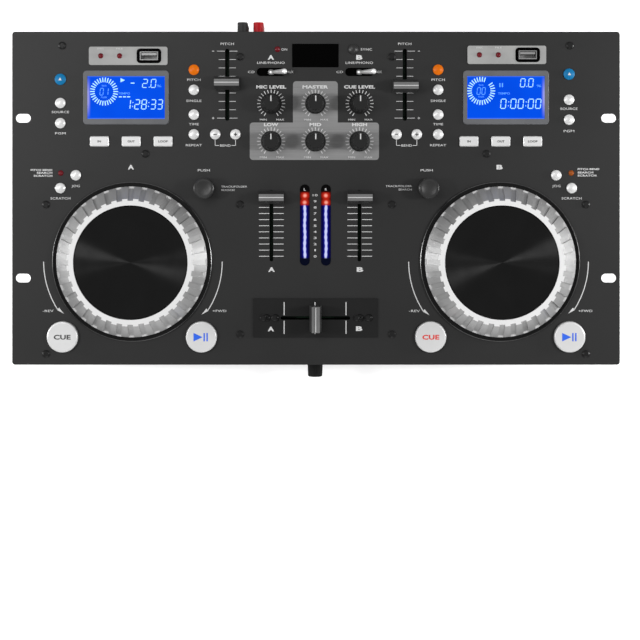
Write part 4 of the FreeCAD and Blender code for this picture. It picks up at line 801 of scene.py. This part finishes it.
def make_screw_heads(material):
    """One cap over each plain screw; the crosses stand at different turns."""
    shape = bmesh.new()
    for number, (x, y, low, high) in enumerate(screw_places()):
        base = PANEL_TOP + HEAD_LIFT if high < PANEL_TOP + ON_PLATE else low - HEAD_SINK
        middle = shape.verts.new((x, y, base + HEAD_HEIGHT - RECESS_MIDDLE))
        rows = []
        for ring in range(1, HEAD_RINGS + 1):
            r = HEAD_R * ring / HEAD_RINGS
            row = []
            for step in range(HEAD_STEPS):
                angle = 2 * math.pi * step / HEAD_STEPS
                turned = angle + number * HEAD_TURN
                z = base + head_height(r * math.cos(turned), r * math.sin(turned), r)
                row.append(shape.verts.new((x + r * math.cos(angle), y + r * math.sin(angle), z)))
            rows.append(row)
        rows.append([shape.verts.new((v.co.x, v.co.y, base)) for v in rows[-1]])
        floor = shape.verts.new((x, y, base))
        for step in range(HEAD_STEPS):
            after = (step + 1) % HEAD_STEPS
            shape.faces.new((middle, rows[0][step], rows[0][after]))
            shape.faces.new((floor, rows[-1][after], rows[-1][step]))
            for inner, outer in zip(rows, rows[1:]):
                shape.faces.new((inner[step], outer[step], outer[after], inner[after]))
    mesh = bpy.data.meshes.new("screw_heads")
    shape.to_mesh(mesh)
    shape.free()
    mesh.transform(Matrix.Scale(MM, 4))
    for face in mesh.polygons:
        face.use_smooth = True
    add_piece("screw_heads", mesh, material, "console")


# ---- Marks that move with their piece ----------------------------------------------------------
# Ink on a domed key starts this far below its top, and ends as far above it.
DOME_SINK = 0.06
LOOP_WORDS = ((-1, "IN", 2.7), (0, "OUT", 5.6), (1, "LOOP", 7.6))
CAP_LINE = (19.3, 0.7)
KNOB_POINTER = (0.9, 5.8)
CUE_KNOB_POINTER = (0.9, 6.4)


def make_key_print(dark, red, blue, white):
    for deck in SIDES:
        node = "loop_buttons_" + deck
        place = centre_of(node)
        ink = Print(level(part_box(node)[1].z), 0.01)
        for step, words, width in LOOP_WORDS:
            ink.text(words, place.x + step * LOOP_PITCH, place.y, width, 1.6, bold=0.03)
        ink.done("loop_key_print_" + deck, dark, node)

        node = "bend_buttons_" + deck
        place = centre_of(node)
        ink = Print(level(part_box(node)[1].z), -DOME_SINK, 2 * DOME_SINK)
        for step in (-1, 1):
            ink.bar(place.x + step * BEND_PITCH, place.y, 2.7, 0.75)
        ink.bar(place.x + BEND_PITCH, place.y, 0.75, 2.7)
        ink.done("bend_key_print_" + deck, dark, node)

        node = "eject_button_" + deck
        x, y = centre_of(node).xy
        ink = Print(level(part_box(node)[1].z), -DOME_SINK, 2 * DOME_SINK)
        ink.polygon([(x - 1.3, y - 0.9), (x + 1.3, y - 0.9), (x, y + 1.4)])
        ink.done("eject_print_" + deck, white, node)
        make_transport_print(deck, dark if deck == "a" else red, blue)


def make_transport_print(deck, cue_ink, play_ink):
    flat = level(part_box("cue_button_" + deck)[1].z)
    place = centre_of("cue_button_" + deck)
    ink = Print(flat, 0.01)
    ink.text("CUE", place.x, place.y, 13.4, 3.5, bold=0.035)
    ink.done("cue_print_" + deck, cue_ink, "cue_button_" + deck)
    x, y = centre_of("play_button_" + deck).xy
    ink = Print(flat, 0.01)
    ink.polygon([(x - 6.2, y - 3.4), (x + 1.0, y), (x - 6.2, y + 3.4)])
    for step in (2.3, 4.6):
        ink.bar(x + step, y, 1.1, 6.6)
    ink.done("play_print_" + deck, play_ink, "play_button_" + deck)


def make_pointers(white):
    for name in KNOB_WORDS:
        place = centre_of(name)
        ink = Print(level((KNOB_TOP - 0.3) * MM), 0.0, 0.2)
        ink.bar(place.x, place.y + 2.7, *KNOB_POINTER)
        ink.done(name + "_pointer", white, name)
    place = centre_of("phones_cue_knob")
    ink = Print(facing(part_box("phones_cue_knob")[0].y), 0.0, 0.05)
    ink.bar(place.x, place.z + 3.0, *CUE_KNOB_POINTER)
    ink.done("phones_cue_knob_pointer", white, "phones_cue_knob")


def make_cap_lines(light):
    for name in FADERS:
        place = centre_of(name)
        ink = Print(level(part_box(name)[1].z), 0.0, 0.04)
        ink.bar(place.x, place.y, *CAP_LINE, 90 if name == "crossfader" else 0)
        ink.done(name + "_line", light, name)


# ---- Displays ----------------------------------------------------------------------------------
# Lit segments of each figure: a on top, then clockwise to f, and g in the middle.
SEGMENTS = {"0": "abcdef", "1": "bc", "2": "abged", "3": "abgcd", "4": "fgbc", "5": "afgcd",
            "6": "afgedc", "7": "abc", "8": "abcdefg", "9": "abcdfg"}
STROKE = 0.095
LEAN = 0.10
# Shares of a figure's place: the narrow places of a colon and a point, the gap after a figure.
NARROW = {":": 0.34, ".": 0.22}
FIGURE_GAP = 0.28
FIGURE_WIDTH = 0.66


def digit(ink, figure, x, y, wide, height):
    """One seven-segment figure, leaning a little, its lower left corner at x, y."""
    stroke = STROKE * height
    places = {"a": (wide / 2, height, 0), "g": (wide / 2, height / 2, 0), "d": (wide / 2, 0, 0),
              "f": (0, 0.75 * height, 90), "b": (wide, 0.75 * height, 90), "e": (0, 0.25 * height, 90),
              "c": (wide, 0.25 * height, 90)}
    for segment in SEGMENTS[figure]:
        sx, sy, angle = places[segment]
        length = wide - stroke if angle == 0 else height / 2 - stroke
        tilt = 90 - math.degrees(math.atan(LEAN)) if angle else 0
        ink.bar(x + sx + LEAN * sy, y + sy, length, stroke, tilt)


def figures(ink, words, left, low, width, height):
    """Figures in a row that fill width; a colon or point takes a narrow place."""
    unit = width / (sum(NARROW.get(mark, 1.0) for mark in words) - FIGURE_GAP)
    x = left
    for mark in words:
        if mark == ":":
            ink.dot(x + 0.06 * unit, low + 0.28 * height, 0.055 * height)
            ink.dot(x + 0.12 * unit, low + 0.70 * height, 0.055 * height)
        elif mark == ".":
            ink.dot(x, low + 0.04 * height, 0.06 * height)
        else:
            digit(ink, mark, x, low, FIGURE_WIDTH * unit, height)
        x += NARROW.get(mark, 1.0) * unit


# Where each display's signs stand, from its middle: the ring and the marks it lacks, the track
# inside it, and the pitch and the time as (figures, left, low, width).
RING_MARKS = 30
RING_MARK = (3.7, 0.85)
RING_R = 9.3
PITCH_FIGURES = 6.5
TIME_FIGURES = 7.4
LOOKS = {
    "a": {"ring": (-17.5, 4.7), "gaps": (), "track": "01", "pitch": ("2.0", 12.9, 7.9, 10.6),
          "time": ("1:28:33", -0.6, -9.2, 29.3)},
    "b": {"ring": (-19.7, 5.2), "gaps": (4, 5), "track": "00", "pitch": ("0.0", 11.3, 8.4, 10.2),
          "time": ("0:00:00", -4.4, -8.7, 32.0)},
}


def make_display_marks():
    lit = glow("lcd_segments", shade(158, 206, 250), 1.0)
    soft = glow("lcd_segments_dim", shade(84, 150, 250), 1.0)
    for deck, side in SIDES.items():
        looks = LOOKS[deck]
        x, y = side * LCD_X, LCD_Y
        dial_x, dial_y = x + looks["ring"][0], y + looks["ring"][1]
        ink = Print(level(LCD_TOP * MM), 0.0, 0.03)
        for index in range(RING_MARKS):
            if index in looks["gaps"]:
                continue
            turn = 360 * index / RING_MARKS
            angle = math.radians(turn)
            ink.bar(dial_x + RING_R * math.cos(angle), dial_y + RING_R * math.sin(angle),
                    *RING_MARK, turn)
        for sign, height in (("pitch", PITCH_FIGURES), ("time", TIME_FIGURES)):
            words, left, low, width = looks[sign]
            figures(ink, words, x + left, y + low, width, height)
        if deck == "a":
            ink.polygon([(x - 4.4, y + 12.0), (x - 0.9, y + 13.7), (x - 4.4, y + 15.4)])
            ink.bar(x + 5.2, y + 11.4, 3.0, 0.8)
            for step in range(3):
                ink.bar(x - 4.6 + step * 3.3, y + 0.5, 2.4, 0.9)
        ink.done("display_figures_" + deck, lit)
        ink = Print(level(LCD_TOP * MM), 0.0, 0.03)
        figures(ink, looks["track"], dial_x - 3.4, dial_y - 2.8, 6.6, 5.4)
        ink.text("TRACK", dial_x, dial_y + 4.6, 4.0, 1.2)
        ink.text("FOLDER", dial_x, dial_y - 4.6, 4.6, 1.2)
        ink.text("TEMPO", x - 1.6, y + 3.2, 9.4, 1.6)
        ink.text("%", x + 26.2, y + 9.2, 3.6, 1.8)
        if deck == "b":
            for step in (-1, 1):
                ink.bar(x - 3.8 + step, y + 9.8, 0.9, 3.2)
        ink.done("display_small_" + deck, soft)


# ---- Materials for every node ------------------------------------------------------------------
# What tells the faces of one node apart: places in millimetres, and how far up a face looks.
BOARD_DEPTH = 10.2
CAP_RISE = 15
FAR_LAMP_X = 195
TRAY_LAMP_DEPTH = 9
DOOR_DEPTH = 0.5
RED_PHONO = (-50, -38)
DECK_WINDOW_X = 100
MIXER_WINDOW_Y = 90
RIM_RISE = 1.5
LEDGE_RISE = 5
DISC_DROP = 2.6
LOOKS_UP = 0.9
CHAMFER = (0.4, 0.95)
SILVER_KEYS = ("source_buttons_", "loop_buttons_", "mode_buttons_", "bend_buttons_", "scratch_buttons_",
               "cue_button_", "play_button_")


def dress_all():
    panel = finish("panel_paint", shade(27), 0.42, specular=0.2, mottle=0.06, blotch=9.0,
                   grain_depth=0.02)
    plate = finish("fader_plate_paint", shade(18), 0.5, specular=0.12, mottle=0.05, grain_depth=0.02)
    case = finish("body_paint", shade(44), 0.5, specular=0.15, mottle=0.06, blotch=9.0, grain_depth=0.02)
    black = finish("screw_black", shade(12), 0.35, metal=0.2, specular=0.2)
    knob = finish("knob_black", shade(27), 0.55, specular=0.1)
    silver_key = finish("button_silver", shade(202), 0.32, metal=0.15, specular=0.5, mottle=0.02)
    chrome = finish("chrome_plate", shade(225), 0.3, metal=0.6, mottle=0.02, grain_depth=0.0)
    jog_silver = finish("jog_silver", shade(165), 0.38, metal=0.6, mottle=0.04)
    # The wheel's up-facing lip and ledge get white copies of its silver: painted highlight.
    jog_lip_painted_highlight = finish("jog_lip_painted_highlight", shade(232), 0.4, mottle=0.01)
    jog_ledge_painted_highlight = finish("jog_ledge_painted_highlight", shade(205), 0.4, mottle=0.02)
    gloss = finish("gloss_black", shade(10), 0.22, specular=0.12)
    # The base's top chamfer gets a lighter, mirror-like copy of the black: painted highlight.
    rim_edge_painted_highlight = finish("rim_edge_painted_highlight", shade(96), 0.3, metal=1.0, mottle=0.02, grain_depth=0.0)
    search_knob = finish("search_knob", shade(15), 0.36, specular=0.35)
    satin = finish("moulded_black", shade(26), 0.45, specular=0.2)
    # A fader cap's sides get a darker copy of its grey as painted shade; its top keeps the grey.
    cap = finish("cap_sides_painted_shade", shade(46), 0.4, specular=0.2)
    door = finish("tray_door", shade(14), 0.35, specular=0.12, grain_depth=0.0)
    cap_top = finish("cap_top", shade(104), 0.4, specular=0.2)
    frame_grey = finish("frame_grey", shade(92, 93, 96), 0.45, specular=0.2)
    strip = finish("strip_grey", shade(152, 152, 151), 0.5, specular=0.2)
    bezel = finish("bezel_grey", shade(122), 0.45, metal=0.1)
    rubber = finish("rubber", shade(28), 0.8, specular=0.2)
    steel = finish("socket_steel", shade(118), 0.4, metal=1.0, mottle=0.05)
    socket_ring = finish("socket_ring", shade(34), 0.3, metal=0.3)
    board = finish("board_green", shade(14, 44, 26), 0.5, specular=0.2)
    brown = finish("supply_board", shade(120, 96, 50), 0.6)
    red_lens = glow("red_lens", shade(120, 10, 20), 0.15, shade(84, 10, 20))
    blue_lens = glow("tray_lens", shade(58, 46, 150), 0.4)
    amber_lens = glow("amber_lens", shade(168, 84, 22), 0.22)
    window_black = finish("window_black", shade(2), 0.25, specular=0.01, mottle=0.0)
    phono_red = finish("phono_red", shade(168, 0, 16), 0.4, specular=0.15)

    dress("top_panel", panel)
    for node in ("front_panel", "rear_panel", "bottom_cover"):
        dress(node, case)
    dress("crossfader_plate", plate)
    dress("screws_and_standoffs", black)
    dress("rubber_feet", rubber)
    dress("tray_bezels", bezel)
    dress("display_frames", frame_grey)
    dress("jog_bases", gloss, pick_rim, (rim_edge_painted_highlight,))
    dress("disc_loaders", satin)
    dress("circuit_boards", board, lambda c, n: int(c.z > -BOARD_DEPTH), (window_black,))
    dress("power_supply", brown)
    dress("front_jacks", satin, pick_jack, (socket_ring,))
    dress("rear_connectors", satin, pick_phono, (phono_red,))
    dress("socket_strips", strip, pick_strip, (window_black, steel))
    dress("indicator_leds", red_lens, pick_lamp, (blue_lens, amber_lens))
    dress("display_windows", lcd_blue(), pick_window, (window_black, meter_window()))
    for deck in SIDES:
        dress("jog_wheel_" + deck, jog_silver, lambda c, n, m=JOG[deck]: pick_jog(c, n, m),
              (jog_lip_painted_highlight, disc_metal(), jog_ledge_painted_highlight))
        dress("disc_tray_" + deck, satin, lambda c, n: int(c.y < FRONT_Y + DOOR_DEPTH), (door,))
        for name in ("pitch_fader_", "channel_fader_"):
            dress(name + deck, cap, pick_cap, (cap_top,))
        dress("encoder_rotor_" + deck, satin)
        dress("encoder_knob_" + deck, search_knob)
        dress("source_toggle_" + deck, chrome)
        dress("eject_button_" + deck, finish("eject_blue_" + deck, shade(14, 108, 158), 0.45,
                                             specular=0.15))
        dress("pitch_button_" + deck, glow("pitch_orange_" + deck, shade(206, 102, 0), 0.35,
                                           shade(176, 84, 0)))
        for name in SILVER_KEYS:
            dress(name + deck, silver_key)
    dress("crossfader", cap, pick_cap, (cap_top,))
    dress("sync_button", search_knob)
    for node in (*KNOB_WORDS, "phones_cue_knob"):
        dress(node, knob)
    dress("power_rocker", gloss)


def pick_rim(c, n):
    """The chamfer that runs round the top of a jog wheel's base, which carries a painted highlight."""
    return int(CHAMFER[0] < n.z < CHAMFER[1] and c.z > PANEL_TOP + RIM_RISE)


def pick_jack(c, n):
    """The socket's nut and face, outside its bore."""
    r = math.hypot(abs(c.x) - JACK_X, c.z - JACK_Z)
    return int(c.y < FRONT_Y - 0.01 and r > JACK_BORE_R)


def pick_phono(c, n):
    return int(c.y > -FRONT_Y - 1 and RED_PHONO[0] < c.x < RED_PHONO[1])


def pick_lamp(c, n):
    """1 for the lamps over the trays, 2 for the lit lamp at the far end of deck B."""
    if c.y < FRONT_Y + TRAY_LAMP_DEPTH:
        return 1
    return 2 if c.x > FAR_LAMP_X else 0


def pick_cap(c, n):
    # The up-facing top keeps the cap's grey; the other faces take the darker copy, painted shade.
    return int(n.z > LOOKS_UP and c.z > PANEL_TOP + CAP_RISE)


def pick_strip(c, n):
    """2 for the memory socket's shell, 1 for the black surround."""
    for side, x, y in STRIPS:
        dx, dy = abs(c.x - side * x - STRIP_SOCKET_X), abs(c.y - y)
        for slot, half in ((2, SOCKET_HALF), (1, SURROUND_HALF)):
            if dx < half[0] and dy < half[1]:
                return slot
    return 0


def pick_window(c, n):
    """0 for the decks' displays, 1 for the mixer's dark window, 2 for the level meters."""
    if abs(c.x) > DECK_WINDOW_X:
        return 0
    return 1 if c.y > MIXER_WINDOW_Y else 2


def pick_jog(c, n, middle):
    """1 for the lip, 2 for the disc, 3 for the ledge at the foot of the flutes; the lip and the ledge
    look up and carry a painted highlight.
    """
    r = math.hypot(c.x - middle.x, c.y - middle.y)
    if r < JOG_DISC_R + 0.1 and c.z > JOG_TOP - DISC_DROP:
        return 2
    if n.z > LOOKS_UP and c.z > JOG_TOP - 0.1:
        return 1
    if n.z > LOOKS_UP and c.z < PANEL_TOP + LEDGE_RISE:
        return 3
    return 0


# ---- Studio ------------------------------------------------------------------------------------
# Metres here. AMBIENT is the share of the white backdrop that lights the object.
FLOOR_REACH = 6.0
FLOOR_GLOW = 0.62
AMBIENT = 0.15
WHITE = (1, 1, 1, 1)
# Name, place, what it points at, size and watts; places and sizes in metres.
LAMPS = (("key", (-0.40, 0.42, 1.15), (0, 0.02, 0), (0.45, 0.45), 3.6),
         ("left", (-0.82, 0.03, 0.95), (0, 0, 0), (0.16, 0.16), 5.5),
         ("right", (0.84, 0.06, 0.95), (0, 0, 0), (0.16, 0.16), 6.5),
         ("left_strip", (-1.2, 0.02, 0.2), (0, -0.02, 0), (0.3, 0.2), 7),
         ("right_strip", (1.2, 0.02, 0.2), (0, -0.02, 0), (0.3, 0.2), 10),
         ("front", (0.1, -1.7, 0.6), (0, 0, -0.04), (1.2, 0.8), 6))


def make_studio():
    make_floor()
    make_world()
    for name, place, aim, size, power in LAMPS:
        lamp = add_lamp(name, place, aim, size, power)
        if name == "key":
            keep_off_wheels(lamp)


def make_floor():
    """A floor that looks as white as the backdrop and still takes the object's shadow."""
    mesh = bpy.data.meshes.new("floor")
    corners = ((-1, -1), (1, -1), (1, 1), (-1, 1))
    mesh.from_pydata([(x * FLOOR_REACH, y * FLOOR_REACH, cad_low.z) for x, y in corners], [],
                     [(0, 1, 2, 3)])
    floor = bpy.data.objects.new("floor", mesh)
    show(floor)
    material, nodes, shader = new_material("floor_white")
    shader.inputs["Base Color"].default_value = (0.85, 0.85, 0.85, 1)
    shader.inputs["Roughness"].default_value = 0.9
    shader.inputs["Emission Color"].default_value = WHITE
    glowing = nodes.math("MULTIPLY", seen_directly(nodes.tree), FLOOR_GLOW)
    nodes.link(glowing, shader.inputs["Emission Strength"])
    mesh.materials.append(material)


def make_world():
    """A white backdrop that lights the object only at the ambient level."""
    world = bpy.data.worlds.new("studio")
    bpy.context.scene.world = world
    world.use_nodes = True
    tree = world.node_tree
    back = tree.nodes["Background"]
    lift = tree.nodes.new("ShaderNodeMath")
    lift.operation = "MULTIPLY_ADD"
    lift.inputs[1].default_value = 1 - AMBIENT
    lift.inputs[2].default_value = AMBIENT
    tree.links.new(seen_directly(tree), lift.inputs[0])
    tree.links.new(lift.outputs[0], back.inputs["Strength"])
    back.inputs["Color"].default_value = WHITE


def keep_off_wheels(lamp):
    """The lamp over the panel leaves the jog wheels to the lamps at their sides."""
    wheels = bpy.data.collections.new("wheels_unlit")
    for deck in SIDES:
        wheels.objects.link(NODES["jog_wheel_" + deck])
    for entry in wheels.collection_objects:
        entry.light_linking.link_state = "EXCLUDE"
    lamp.light_linking.receiver_collection = wheels


def seen_directly(tree):
    """One for rays from the camera, in mirrors and through glass, where the backdrop is white."""
    rays = tree.nodes.new("ShaderNodeLightPath")
    seen = rays.outputs["Is Camera Ray"]
    for kind in ("Is Glossy Ray", "Is Transmission Ray"):
        either = tree.nodes.new("ShaderNodeMath")
        either.operation = "MAXIMUM"
        tree.links.new(seen, either.inputs[0])
        tree.links.new(rays.outputs[kind], either.inputs[1])
        seen = either.outputs[0]
    return seen


def add_lamp(name, place, aim, size, power):
    data = bpy.data.lights.new(name, "AREA")
    data.shape = "RECTANGLE"
    data.size, data.size_y = size
    data.energy = power
    lamp = bpy.data.objects.new(name, data)
    lamp.location = place
    direction = Vector(aim) - Vector(place)
    lamp.rotation_mode = "QUATERNION"
    lamp.rotation_quaternion = direction.to_track_quat("-Z", "Y")
    show(lamp)
    return lamp


def main():
    make_camera()
    make_studio()
    bpy.context.scene.view_settings.view_transform = "Standard"
    dress_all()
    white = finish("print_white", shade(205), 0.6, specular=0.1, mottle=0.02, grain_depth=0.0)
    dark = finish("print_dark", shade(40), 0.6, grain_depth=0.0)
    red = finish("print_red", shade(205, 40, 30), 0.6, grain_depth=0.0)
    blue = finish("print_blue", shade(20, 90, 215), 0.6, grain_depth=0.0)
    light = finish("cap_line", shade(186), 0.4, grain_depth=0.0)
    make_grey_field()
    make_panel_print(white)
    make_strip_print(white)
    make_screw_heads(finish("screw_head", shade(4), 0.28, specular=0.12, grain_depth=0.0))
    make_crossfader_print(white)
    make_front_print(white)
    make_key_print(dark, red, blue, white)
    make_pointers(white)
    make_cap_lines(light)
    make_display_marks()


main()
